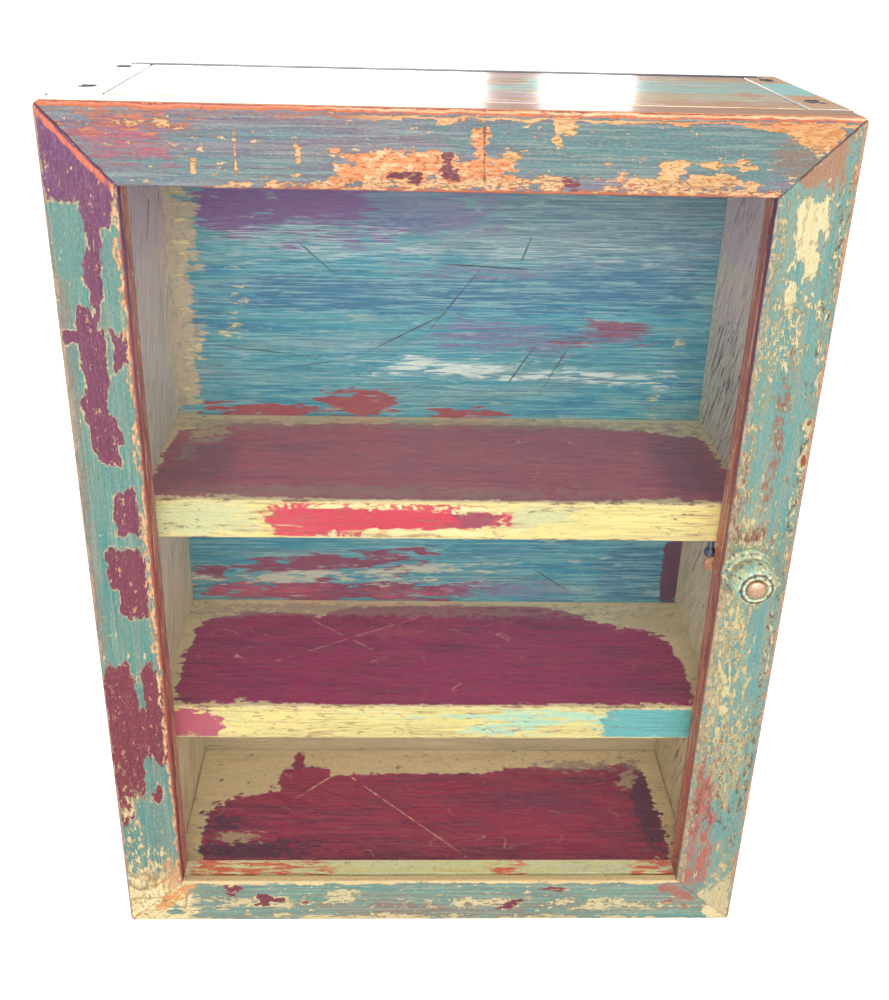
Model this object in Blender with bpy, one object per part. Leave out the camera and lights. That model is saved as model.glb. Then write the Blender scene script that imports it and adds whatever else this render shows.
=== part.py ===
"""Rustic wall cabinet: a case of painted boards with two housed shelves, a mitred glazed door on two butt
hinges, and a turned knob whose bolt carries a latch tongue behind the door.

Metres, +Z up, +Y towards the wall. The origin is the centre of the cabinet's underside.
"""
import math

import bmesh
import bpy
from mathutils import Matrix, Vector

# Cabinet
WIDTH = 0.450
HEIGHT = 0.590
DEPTH = 0.180
GAP = 0.0003  # clearance between pieces that touch
ARRIS = 0.0015  # how far board edges are eased
OVERCUT = 0.010  # how far a cutter runs past the face that it opens

# Case
SIDE_LEFT_THICKNESS = 0.031
SIDE_RIGHT_THICKNESS = 0.026
TOP_THICKNESS = 0.028
BOTTOM_THICKNESS = 0.028
BACK_THICKNESS = 0.012
BACK_LAP = 0.014  # how far the back board laps each side
SHELF_THICKNESS = 0.028
SHELF_UPPER_TOP = 0.342
SHELF_LOWER_TOP = 0.180
HOUSING_DEPTH = 0.008  # groove in each side for a shelf's end

# Nails
NAIL_RADIUS = 0.00125
NAIL_HEAD_RADIUS = 0.003
NAIL_HEAD_THICKNESS = 0.0012
NAIL_SET = 0.0004  # how far a straight nail's head is punched below the face
NAIL_POINT = 0.003
NAIL_BITE = 0.025  # length in the second board
NAIL_INSET_FRONT = 0.033
NAIL_INSET_REAR = 0.025
NAIL_SIDES = 10
TOP_NAIL_SKEW = math.radians(55)  # from upright
TOP_NAIL_COVER = 0.005  # wood left under a skew nail's point
BACK_NAIL_INSET = 0.040

# Door
DOOR_THICKNESS = 0.024
SEAM = 0.001  # between the door and the case
DOOR_LIFT = 0.0015  # door's foot above the cabinet's underside
STILE_LEFT_WIDTH = 0.041
STILE_RIGHT_WIDTH = 0.044
RAIL_TOP_WIDTH = 0.045
RAIL_BOTTOM_WIDTH = 0.0385
CORNER_ROUND = 0.006
CORNER_PROUD = 0.0003  # the rounded blank stands this far outside the frame, so it trims the corners alone
LIP = 0.006  # wood in front of the glass
REBATE = 0.010
GLASS_THICKNESS = 0.003
GLASS_PLAY = 0.0005
TONGUE_LENGTH = 0.024  # loose tongue, along the mitre
TONGUE_WIDTH = 0.016
TONGUE_THICKNESS = 0.003
TONGUE_FROM_CORNER = 0.024  # centre of the loose tongue

# Hinges
HINGE_LENGTH = 0.050
HINGE_INSET = 0.095  # hinge centre from the cabinet's top and underside
LEAF_WIDTH = 0.020
LEAF_THICKNESS = 0.0012
LEAF_GAP = 0.0003  # between the closed leaves
KNUCKLE_RADIUS = 0.003
KNUCKLE_STAND = 0.0002  # between the barrel and the boards' edge
KNUCKLE_GAP = 0.0006
NOTCH_PLAY = 0.0003  # from a leaf's notch to the other leaf's knuckle
BARREL_INSET = 0.0005  # barrel's ends inside the leaves' ends
PIN_RADIUS = 0.00135
PIN_PLAY = 0.0002
PIN_HEAD_RADIUS = 0.0024
PIN_HEAD_LENGTH = 0.0012
SCREW_HEAD_RADIUS = 0.0026
SCREW_RADIUS = 0.0013
SCREW_LENGTH = 0.014
SCREW_POINT = 0.004
SCREW_SLOT_WIDTH = 0.0007
SCREW_SLOT_DEPTH = 0.0004
SCREW_FROM_MIDDLE = 0.016
SCREW_FROM_EDGE = 0.011

# Knob and latch
KNOB_SET_IN = 0.006  # knob axis beyond the glass rebate
LATCH_DROP = 0.008  # knob axis below the upper shelf
KNOB_FOOT_RADIUS = 0.017
KNOB_FOOT_LENGTH = 0.004
KNOB_WAIST_RADIUS = 0.0135
KNOB_WAIST_AT = 0.007
KNOB_BELLY_RADIUS = 0.015
KNOB_BELLY_AT = 0.012
KNOB_FACE_RADIUS = 0.009
KNOB_LENGTH = 0.023
KNOB_SINK_RADIUS = 0.0074
KNOB_SINK_DEPTH = 0.002
BOLT_RADIUS = 0.003
BOLT_HEAD_RADIUS = 0.0063
BOLT_HEAD_HEIGHT = 0.0042
BOLT_END = 0.0015  # bolt beyond its nut
SPACER_RADIUS = 0.0055
LATCH_TONGUE_SETBACK = 0.007  # tongue's front face behind the case's front
LATCH_TONGUE_HALF_WIDTH = 0.005
LATCH_TONGUE_THICKNESS = 0.005
LATCH_WALL = 0.004  # wood of the side beyond the tongue's tip
LATCH_SWEEP_PLAY = 0.0008
NUT_RADIUS = 0.0057
NUT_THICKNESS = 0.0045
PEG_OFFSET = 0.0165  # stop peg beside the knob axis
PEG_HANG = 0.011  # ball's centre below the upper shelf
PEG_SETBACK = 0.0065
PEG_BALL_RADIUS = 0.004
PEG_NECK_RADIUS = 0.002
PEG_TENON_RADIUS = 0.0025
PEG_TENON_LENGTH = 0.010

# Faces that several pieces share
LEFT = -WIDTH / 2
RIGHT = WIDTH / 2
FRONT = -DEPTH / 2
BACK = DEPTH / 2
DOOR_BACK = FRONT + DOOR_THICKNESS
CASE_FRONT = DOOR_BACK + SEAM
BACK_FACE = BACK - BACK_THICKNESS
BOARD_REAR = BACK_FACE - GAP
INNER_LEFT = LEFT + SIDE_LEFT_THICKNESS
INNER_RIGHT = RIGHT - SIDE_RIGHT_THICKNESS
SIGHT = (LEFT + STILE_LEFT_WIDTH, RIGHT - STILE_RIGHT_WIDTH,
         DOOR_LIFT + RAIL_BOTTOM_WIDTH, HEIGHT - RAIL_TOP_WIDTH)
SHELF_UPPER_UNDERSIDE = SHELF_UPPER_TOP - SHELF_THICKNESS
HINGE_AXIS = Vector((LEFT - KNUCKLE_RADIUS - KNUCKLE_STAND, DOOR_BACK + SEAM / 2, 0))
LATCH_AXIS = Vector((SIGHT[1] + REBATE + KNOB_SET_IN, FRONT, SHELF_UPPER_UNDERSIDE - LATCH_DROP))


def clear_scene():
    for item in list(bpy.data.objects):
        bpy.data.objects.remove(item, do_unlink=True)


def finish(name, colour, roughness, metallic=0.0):
    made = bpy.data.materials.new(name)
    made.use_nodes = True
    shader = made.node_tree.nodes["Principled BSDF"]
    shader.inputs["Base Color"].default_value = (*colour, 1.0)
    shader.inputs["Roughness"].default_value = roughness
    shader.inputs["Metallic"].default_value = metallic
    made.diffuse_color = (*colour, 1.0)
    return made


def make_object(name, mesh_maker, place, material=None, pivot=None):
    """Link an object; the pivot is an empty on a joint's axis, and the object turns with it."""
    mesh = bpy.data.meshes.new(name)
    mesh_maker.to_mesh(mesh)
    mesh_maker.free()
    item = bpy.data.objects.new(name, mesh)
    item.location = place
    bpy.context.scene.collection.objects.link(item)
    if material:
        mesh.materials.append(material)
    if pivot:
        attach(item, pivot)
    return item


def attach(item, pivot):
    item.parent = pivot
    item.matrix_parent_inverse = Matrix.Translation(-Vector(pivot["axis_place"]))


def axis_empty(name, place, pivot=None):
    item = bpy.data.objects.new(name, None)
    item.location = place
    item["axis_place"] = place
    bpy.context.scene.collection.objects.link(item)
    if pivot:
        attach(item, pivot)
    return item


def as_guide(item):
    item.hide_render = True
    item.display_type = "WIRE"
    return item


def combine(item, tool, operation="DIFFERENCE"):
    step = item.modifiers.new(operation.lower() + "_" + tool.name, "BOOLEAN")
    step.operation = operation
    step.object = tool
    step.solver = "EXACT"


def ease_edges(item, width=ARRIS, segments=2):
    step = item.modifiers.new("eased_edges", "BEVEL")
    step.width = width
    step.segments = segments
    step.limit_method = "ANGLE"


def turn_towards(item, direction):
    """Point the object's -Z along the direction."""
    item.rotation_mode = "QUATERNION"
    item.rotation_quaternion = Vector((0, 0, -1)).rotation_difference(direction)


def block(name, low, high, material=None, pivot=None):
    low = Vector(low)
    high = Vector(high)
    shape = bmesh.new()
    bmesh.ops.create_cube(shape, size=1.0)
    bmesh.ops.scale(shape, vec=high - low, verts=shape.verts)
    return make_object(name, shape, (low + high) / 2, material, pivot)


def arc(centre, radius, start, end, steps=4):
    """Points on a circle from one angle to another, in degrees."""
    points = []
    for step in range(steps + 1):
        angle = math.radians(start + (end - start) * step / steps)
        points.append((centre[0] + radius * math.cos(angle), centre[1] + radius * math.sin(angle)))
    return points


def turned(name, profile, place, material=None, pivot=None, sides=24):
    """Spin a profile of (radius, height) about Z. It is closed by the axis, or is a loop round a bore."""
    shape = bmesh.new()
    corners = [shape.verts.new((radius, 0, height)) for radius, height in profile]
    edges = [shape.edges.new(pair) for pair in zip(corners, corners[1:])]
    if min(radius for radius, height in profile) > 0:
        edges.append(shape.edges.new((corners[-1], corners[0])))
    bmesh.ops.spin(shape, geom=corners + edges, cent=(0, 0, 0), axis=(0, 0, 1),
                   angle=math.tau, steps=sides, use_merge=True)
    bmesh.ops.remove_doubles(shape, verts=shape.verts, dist=1e-6)
    bmesh.ops.recalc_face_normals(shape, faces=shape.faces)
    item = make_object(name, shape, place, material, pivot)
    item.data.shade_smooth()
    item.data.set_sharp_from_angle(angle=math.radians(35))
    return item


def plate(name, outline, thickness, place, material=None, pivot=None):
    """Extrude an outline of (x, z) points along +Y."""
    shape = bmesh.new()
    face = shape.faces.new([shape.verts.new((x, 0, z)) for x, z in outline])
    grown = bmesh.ops.extrude_face_region(shape, geom=[face])["geom"]
    moved = [part for part in grown if isinstance(part, bmesh.types.BMVert)]
    bmesh.ops.translate(shape, vec=(0, thickness, 0), verts=moved)
    bmesh.ops.recalc_face_normals(shape, faces=shape.faces)
    return make_object(name, shape, place, material, pivot)


def cylinder_along(name, radius, start, direction, length, pivot=None, sides=24):
    profile = [(0, 0), (radius, 0), (radius, -length), (0, -length)]
    item = turned(name, profile, start, pivot=pivot, sides=sides)
    turn_towards(item, direction)
    return item


def nail_profile(length, head_top=0.0, play=0.0):
    head = NAIL_HEAD_RADIUS + play
    shank = NAIL_RADIUS + play
    under_head = -NAIL_HEAD_THICKNESS - play
    tip = -length - play
    return [(0, head_top), (head, head_top), (head, under_head), (shank, under_head),
            (shank, tip + NAIL_POINT), (NAIL_POINT * 0.1, tip), (0, tip)]


def drive_nail(name, entry, direction, length, boards, material, set_depth=NAIL_SET):
    """A nail whose head lies below the entry point, with its hole cut in the boards."""
    direction = Vector(direction)
    place = Vector(entry) + direction * set_depth
    nail = turned(name, nail_profile(length), place, material, sides=NAIL_SIDES)
    turn_towards(nail, direction)
    hole = as_guide(turned(name + "_hole", nail_profile(length, set_depth + OVERCUT, GAP), place, sides=NAIL_SIDES))
    turn_towards(hole, direction)
    for board in boards:
        combine(board, hole)
    return nail


def frame_member(name, side, outer, inner, section, y_front, material, pivot):
    """One mitred member of a rectangular frame.

    outer and inner are (left, right, low, high). The section is (distance in from the outer edge, depth).
    """
    widths = {"left": inner[0] - outer[0], "right": outer[1] - inner[1],
              "low": inner[2] - outer[2], "high": outer[3] - inner[3]}
    upright = side in ("left", "right")
    ends = ("low", "high") if upright else ("left", "right")
    inward = {"left": (1, 0, 0), "right": (-1, 0, 0), "low": (0, 0, 1), "high": (0, 0, -1)}[side]
    along = (0, 0, 1) if upright else (1, 0, 0)
    length = outer[3] - outer[2] if upright else outer[1] - outer[0]
    corner = (outer[1] if side == "right" else outer[0], y_front, outer[3] if side == "high" else outer[2])
    width = widths[side]

    shape = bmesh.new()
    face = shape.faces.new([shape.verts.new((across, depth, 0)) for across, depth in section])
    grown = bmesh.ops.extrude_face_region(shape, geom=[face])["geom"]
    far_end = [part for part in grown if isinstance(part, bmesh.types.BMVert)]
    bmesh.ops.translate(shape, vec=(0, 0, length), verts=far_end)
    far_end = set(far_end)
    for vert in shape.verts:
        neighbour = widths[ends[1] if vert in far_end else ends[0]]
        joint = GAP / 2 * math.hypot(width, neighbour) / width
        shift = vert.co.x * neighbour / width + joint
        vert.co.z += -shift if vert in far_end else shift
    axes = Matrix((inward, (0, 1, 0), along)).transposed()
    bmesh.ops.transform(shape, matrix=axes.to_4x4(), verts=shape.verts)
    bmesh.ops.recalc_face_normals(shape, faces=shape.faces)
    return make_object(name, shape, corner, material, pivot)


def add_case():
    """Sides with rebates and housings, top, bottom, back and shelves."""
    side_paint = finish("side_paint", (0.36, 0.33, 0.28), 0.55)
    sides = {
        "left": block("side_left", (LEFT, CASE_FRONT, 0), (INNER_LEFT, BACK, HEIGHT), side_paint),
        "right": block("side_right", (INNER_RIGHT, CASE_FRONT, 0), (RIGHT, BACK, HEIGHT), side_paint),
    }
    boards = dict(sides)
    for name, low, high, colour in (
            ("top_board", HEIGHT - TOP_THICKNESS, HEIGHT, (0.62, 0.36, 0.22)),
            ("bottom_board", 0, BOTTOM_THICKNESS, (0.20, 0.05, 0.09))):
        paint = finish(name + "_paint", colour, 0.35)
        boards[name] = block(name, (INNER_LEFT + GAP, CASE_FRONT, low), (INNER_RIGHT - GAP, BOARD_REAR, high), paint)

    back_paint = finish("back_paint", (0.13, 0.36, 0.42), 0.5)
    boards["back"] = block("back_board", (INNER_LEFT - BACK_LAP + GAP, BACK_FACE, 0),
                           (INNER_RIGHT + BACK_LAP - GAP, BACK, HEIGHT), back_paint)
    for side in sides.values():
        ease_edges(side)
    rebate = as_guide(block("back_rebate", (INNER_LEFT - BACK_LAP, BOARD_REAR, -OVERCUT),
                            (INNER_RIGHT + BACK_LAP, BACK + OVERCUT, HEIGHT + OVERCUT)))
    for side in sides.values():
        combine(side, rebate)

    shelf_paint = finish("shelf_paint", (0.24, 0.06, 0.10), 0.4)
    for name, top in (("shelf_upper", SHELF_UPPER_TOP), ("shelf_lower", SHELF_LOWER_TOP)):
        low = (INNER_LEFT - HOUSING_DEPTH + GAP, CASE_FRONT, top - SHELF_THICKNESS)
        high = (INNER_RIGHT + HOUSING_DEPTH - GAP, BOARD_REAR, top)
        boards[name] = block(name, low, high, shelf_paint)
        housing = as_guide(block(name + "_housing", (low[0] - GAP, CASE_FRONT - OVERCUT, low[2] - GAP),
                                 (high[0] + GAP, BOARD_REAR + GAP, high[2] + GAP)))
        for side in sides.values():
            combine(side, housing)
    for name in ("top_board", "bottom_board", "back", "shelf_upper", "shelf_lower"):
        ease_edges(boards[name])
    return boards


def add_nails(boards):
    iron = finish("nail_iron", (0.10, 0.07, 0.09), 0.6, 0.7)
    rows = (("front", CASE_FRONT + NAIL_INSET_FRONT), ("rear", BACK - NAIL_INSET_REAR))
    sides = (("left", LEFT, SIDE_LEFT_THICKNESS, 1), ("right", RIGHT, SIDE_RIGHT_THICKNESS, -1))
    ends = (("shelf_nail_upper", "shelf_upper", SHELF_UPPER_TOP - SHELF_THICKNESS / 2),
            ("shelf_nail_lower", "shelf_lower", SHELF_LOWER_TOP - SHELF_THICKNESS / 2),
            ("bottom_nail", "bottom_board", BOTTOM_THICKNESS / 2))
    skew_set = NAIL_HEAD_RADIUS * math.tan(TOP_NAIL_SKEW) + NAIL_SET
    skew_length = (TOP_THICKNESS - TOP_NAIL_COVER) / math.cos(TOP_NAIL_SKEW) - skew_set
    for side, face, thickness, inward in sides:
        middle = face + inward * thickness / 2
        for row, y in rows:
            slant = (inward * math.sin(TOP_NAIL_SKEW), 0, -math.cos(TOP_NAIL_SKEW))
            drive_nail("top_nail_" + side + "_" + row, (middle, y, HEIGHT), slant, skew_length,
                       (boards[side], boards["top_board"]), iron, skew_set)
            for prefix, board, z in ends:
                drive_nail(prefix + "_" + side + "_" + row, (face, y, z), (inward, 0, 0), thickness + NAIL_BITE,
                           (boards[side], boards[board]), iron)
        lap_middle = face + inward * (thickness - BACK_LAP / 2)
        for level, z in (("low", BACK_NAIL_INSET), ("high", HEIGHT - BACK_NAIL_INSET)):
            drive_nail("back_nail_" + side + "_" + level, (lap_middle, BACK, z), (0, -1, 0),
                       BACK_THICKNESS + NAIL_BITE, (boards[side], boards["back"]), iron)


def door_section(width):
    """Stile or rail section: eased front edges and a rebate for the glass."""
    rebate_at = width - REBATE
    return (arc((ARRIS, ARRIS), ARRIS, 180, 270, 3)
            + arc((width - ARRIS, ARRIS), ARRIS, 270, 360, 3)
            + [(width, LIP), (rebate_at, LIP), (rebate_at, DOOR_THICKNESS),
               (ARRIS / 2, DOOR_THICKNESS), (0, DOOR_THICKNESS - ARRIS / 2)])


def add_door_frame(pivot):
    outer = (LEFT, RIGHT, DOOR_LIFT, HEIGHT)
    paint = finish("door_paint", (0.20, 0.42, 0.42), 0.5)
    members = {}
    for name, side, width in (("stile_left", "left", STILE_LEFT_WIDTH), ("stile_right", "right", STILE_RIGHT_WIDTH),
                              ("rail_bottom", "low", RAIL_BOTTOM_WIDTH), ("rail_top", "high", RAIL_TOP_WIDTH)):
        members[side] = frame_member(name, side, outer, SIGHT, door_section(width), FRONT, paint, pivot)

    blank = as_guide(block("rounded_blank", (LEFT - CORNER_PROUD, FRONT - OVERCUT, DOOR_LIFT - CORNER_PROUD),
                           (RIGHT + CORNER_PROUD, DOOR_BACK + OVERCUT, HEIGHT + CORNER_PROUD), pivot=pivot))
    round_upright_edges(blank, CORNER_ROUND)
    for member in members.values():
        combine(member, blank, "INTERSECT")
    add_mitre_tongues(members, outer, pivot)
    return members


def round_upright_edges(item, radius):
    """Round the four edges of a block that run along Y."""
    shape = bmesh.new()
    shape.from_mesh(item.data)
    edges = [edge for edge in shape.edges
             if abs(edge.verts[0].co.y - edge.verts[1].co.y) > radius]
    bmesh.ops.bevel(shape, geom=edges, offset=radius, offset_type="OFFSET", affect="EDGES",
                    segments=5, profile=0.5, material=-1)
    shape.to_mesh(item.data)
    shape.free()


def add_mitre_tongues(members, outer, pivot):
    """A loose wooden tongue glued across each mitre, half in the stile and half in the rail."""
    wood = finish("tongue_wood", (0.55, 0.40, 0.25), 0.7)
    middle = FRONT + DOOR_THICKNESS / 2
    half = Vector((TONGUE_LENGTH, TONGUE_THICKNESS, TONGUE_WIDTH)) / 2
    play = Vector((GAP, GAP, GAP))
    for side_x, x_outer, x_inner in (("left", outer[0], SIGHT[0]), ("right", outer[1], SIGHT[1])):
        for side_z, z_outer, z_inner in (("low", outer[2], SIGHT[2]), ("high", outer[3], SIGHT[3])):
            mitre = Vector((x_inner - x_outer, 0, z_inner - z_outer)).normalized()
            place = Vector((x_outer, middle, z_outer)) + mitre * TONGUE_FROM_CORNER
            turn = -math.atan2(mitre.z, mitre.x)
            name = "mitre_tongue_" + side_z + "_" + side_x
            tongue = block(name, -half, half, wood, pivot)
            slot = as_guide(block(name + "_slot", -half - play, half + play, pivot=pivot))
            for item in (tongue, slot):
                item.location = place
                item.rotation_euler = (0, turn, 0)
            combine(members[side_x], slot)
            combine(members[side_z], slot)


def add_glazing(pivot):
    """Glass in the rebate, held from behind by four mitred beads."""
    rebate = (SIGHT[0] - REBATE, SIGHT[1] + REBATE, SIGHT[2] - REBATE, SIGHT[3] + REBATE)
    glass = finish("clear_glass", (0.80, 0.88, 0.88), 0.05)
    glass_front = FRONT + LIP + GAP
    block("glass_pane", (rebate[0] + GLASS_PLAY, glass_front, rebate[2] + GLASS_PLAY),
          (rebate[1] - GLASS_PLAY, glass_front + GLASS_THICKNESS, rebate[3] - GLASS_PLAY), glass, pivot)

    bead_paint = finish("bead_paint", (0.55, 0.25, 0.20), 0.5)
    bead_front = glass_front + GLASS_THICKNESS + GAP
    outer = (rebate[0] + GAP, rebate[1] - GAP, rebate[2] + GAP, rebate[3] - GAP)
    width = REBATE - GAP
    depth = DOOR_BACK - bead_front
    section = [(0, 0), (width, 0), (width, depth - ARRIS), (width - ARRIS, depth), (0, depth)]
    for name, side in (("left", "left"), ("right", "right"), ("bottom", "low"), ("top", "high")):
        frame_member("glazing_bead_" + name, side, outer, SIGHT, section, bead_front, bead_paint, pivot)


def add_hinge(name, z, side_board, stile, pivot):
    """A butt hinge: the case leaf has the outer knuckles, the door leaf the middle one, and a pin joins them."""
    steel = finish(name + "_steel", (0.30, 0.24, 0.18), 0.45, 0.9)
    axis = Vector((HINGE_AXIS.x, HINGE_AXIS.y, z))
    low = -HINGE_LENGTH / 2
    knuckle = (HINGE_LENGTH - 2 * BARREL_INSET - 2 * KNUCKLE_GAP) / 3
    starts = [low + BARREL_INSET + number * (knuckle + KNUCKLE_GAP) for number in range(3)]
    bore = PIN_RADIUS + PIN_PLAY
    screw_x = LEFT + SCREW_FROM_EDGE
    for leaf, towards, board, numbers, leaf_pivot in (
            ("case", 1, side_board, (0, 2), None), ("door", -1, stile, (1,), pivot)):
        inner = axis.y + towards * LEAF_GAP / 2
        outer = inner + towards * LEAF_THICKNESS
        front, rear = sorted((inner, outer))
        item = block(name + "_" + leaf + "_leaf", (axis.x + (bore + KNUCKLE_RADIUS) / 2, front, z + low),
                     (LEFT + LEAF_WIDTH, rear, z - low), steel, leaf_pivot)
        for number, start in enumerate(starts):
            at = axis + Vector((0, 0, start))
            if number in numbers:
                ring = [(bore, 0), (KNUCKLE_RADIUS, 0), (KNUCKLE_RADIUS, knuckle), (bore, knuckle)]
                tube = turned(name + "_knuckle_%d" % number, ring, at, pivot=leaf_pivot)
                combine(item, as_guide(tube), "UNION")
            else:
                clear = KNUCKLE_RADIUS + KNUCKLE_GAP
                first = BARREL_INSET + OVERCUT if number == 0 else NOTCH_PLAY
                last = BARREL_INSET + OVERCUT if number == 2 else NOTCH_PLAY
                notch = [(0, -first), (clear, -first), (clear, knuckle + last), (0, knuckle + last)]
                space = turned(name + "_space_%d" % number, notch, at, pivot=leaf_pivot)
                combine(item, as_guide(space))
        recess_low = (LEFT - OVERCUT, min(outer + towards * GAP, axis.y), z + low - GAP)
        recess_high = (LEFT + LEAF_WIDTH + GAP, max(outer + towards * GAP, axis.y), z - low + GAP)
        recess = as_guide(block(name + "_" + leaf + "_recess", recess_low, recess_high, pivot=leaf_pivot))
        combine(board, recess)
        for level, shift in (("low", -SCREW_FROM_MIDDLE), ("high", SCREW_FROM_MIDDLE)):
            add_screw(name + "_" + leaf + "_screw_" + level, (screw_x, inner, z + shift), (0, towards, 0),
                      (item, board), steel, leaf_pivot)

    reach = HINGE_LENGTH / 2 - BARREL_INSET + KNUCKLE_GAP
    pin = [(0, -reach - PIN_HEAD_LENGTH), (PIN_HEAD_RADIUS, -reach - PIN_HEAD_LENGTH / 2), (PIN_HEAD_RADIUS, -reach),
           (PIN_RADIUS, -reach), (PIN_RADIUS, reach), (PIN_HEAD_RADIUS, reach),
           (PIN_HEAD_RADIUS, reach + PIN_HEAD_LENGTH / 2), (0, reach + PIN_HEAD_LENGTH)]
    turned(name + "_pin", pin, axis, steel, sides=20)


def add_screw(name, entry, direction, cut_pieces, material, pivot):
    """A countersunk slotted screw, flush with the leaf."""
    neck = -LEAF_THICKNESS
    profile = [(0, 0), (SCREW_HEAD_RADIUS, 0), (SCREW_RADIUS, neck), (SCREW_RADIUS, SCREW_POINT - SCREW_LENGTH),
               (SCREW_POINT * 0.05, -SCREW_LENGTH), (0, -SCREW_LENGTH)]
    screw = turned(name, profile, entry, material, pivot, sides=16)
    turn_towards(screw, Vector(direction))
    head = SCREW_HEAD_RADIUS + GAP
    shank = SCREW_RADIUS + GAP
    hole_profile = [(0, GAP), (head, GAP), (head, 0), (shank, neck - GAP), (shank, -SCREW_LENGTH - GAP),
                    (0, -SCREW_LENGTH - GAP)]
    hole = as_guide(turned(name + "_hole", hole_profile, entry, pivot=pivot, sides=16))
    turn_towards(hole, Vector(direction))
    for piece in cut_pieces:
        combine(piece, hole)
    slot = as_guide(block(name + "_slot", (-SCREW_HEAD_RADIUS * 2, -SCREW_SLOT_WIDTH / 2, -SCREW_SLOT_DEPTH),
                          (SCREW_HEAD_RADIUS * 2, SCREW_SLOT_WIDTH / 2, OVERCUT / 2), pivot=pivot))
    for vert in slot.data.vertices:
        vert.co.z += (OVERCUT / 2 - SCREW_SLOT_DEPTH) / 2
    slot.location = entry
    turn_towards(slot, Vector(direction))
    combine(screw, slot)


def knob_profile():
    """Turned knob: a foot disc, a waist, and a belly that domes over to a flat face with a sunk seat."""
    waist = [(KNOB_FOOT_RADIUS, 0), (KNOB_FOOT_RADIUS, KNOB_FOOT_LENGTH / 2)]
    waist += [(KNOB_WAIST_RADIUS + (KNOB_FOOT_RADIUS - KNOB_WAIST_RADIUS) * math.cos(math.radians(a)) ** 2,
               KNOB_FOOT_LENGTH / 2 + (KNOB_WAIST_AT - KNOB_FOOT_LENGTH / 2) * a / 90) for a in (25, 50, 75, 90)]
    belly = [(KNOB_WAIST_RADIUS + (KNOB_BELLY_RADIUS - KNOB_WAIST_RADIUS) * math.sin(math.radians(a)),
              KNOB_WAIST_AT + (KNOB_BELLY_AT - KNOB_WAIST_AT) * a / 90) for a in (30, 60)]
    dome = [(KNOB_FACE_RADIUS + (KNOB_BELLY_RADIUS - KNOB_FACE_RADIUS) * math.cos(math.radians(a)),
             KNOB_BELLY_AT + (KNOB_LENGTH - KNOB_BELLY_AT) * math.sin(math.radians(a))) for a in range(0, 91, 15)]
    seat = KNOB_LENGTH - KNOB_SINK_DEPTH
    return [(0, 0)] + waist + belly + dome + [(KNOB_SINK_RADIUS, KNOB_LENGTH), (KNOB_SINK_RADIUS, seat), (0, seat)]


def rest_tilt():
    """Angle of the tongue from straight down, at which its edge rests on the stop peg."""
    drop = LATCH_AXIS.z - (SHELF_UPPER_UNDERSIDE - PEG_HANG)
    distance = math.hypot(PEG_OFFSET, drop)
    peg_angle = math.atan2(PEG_OFFSET, drop)
    return peg_angle - math.asin((LATCH_TONGUE_HALF_WIDTH + PEG_BALL_RADIUS + GAP) / distance)


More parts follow.
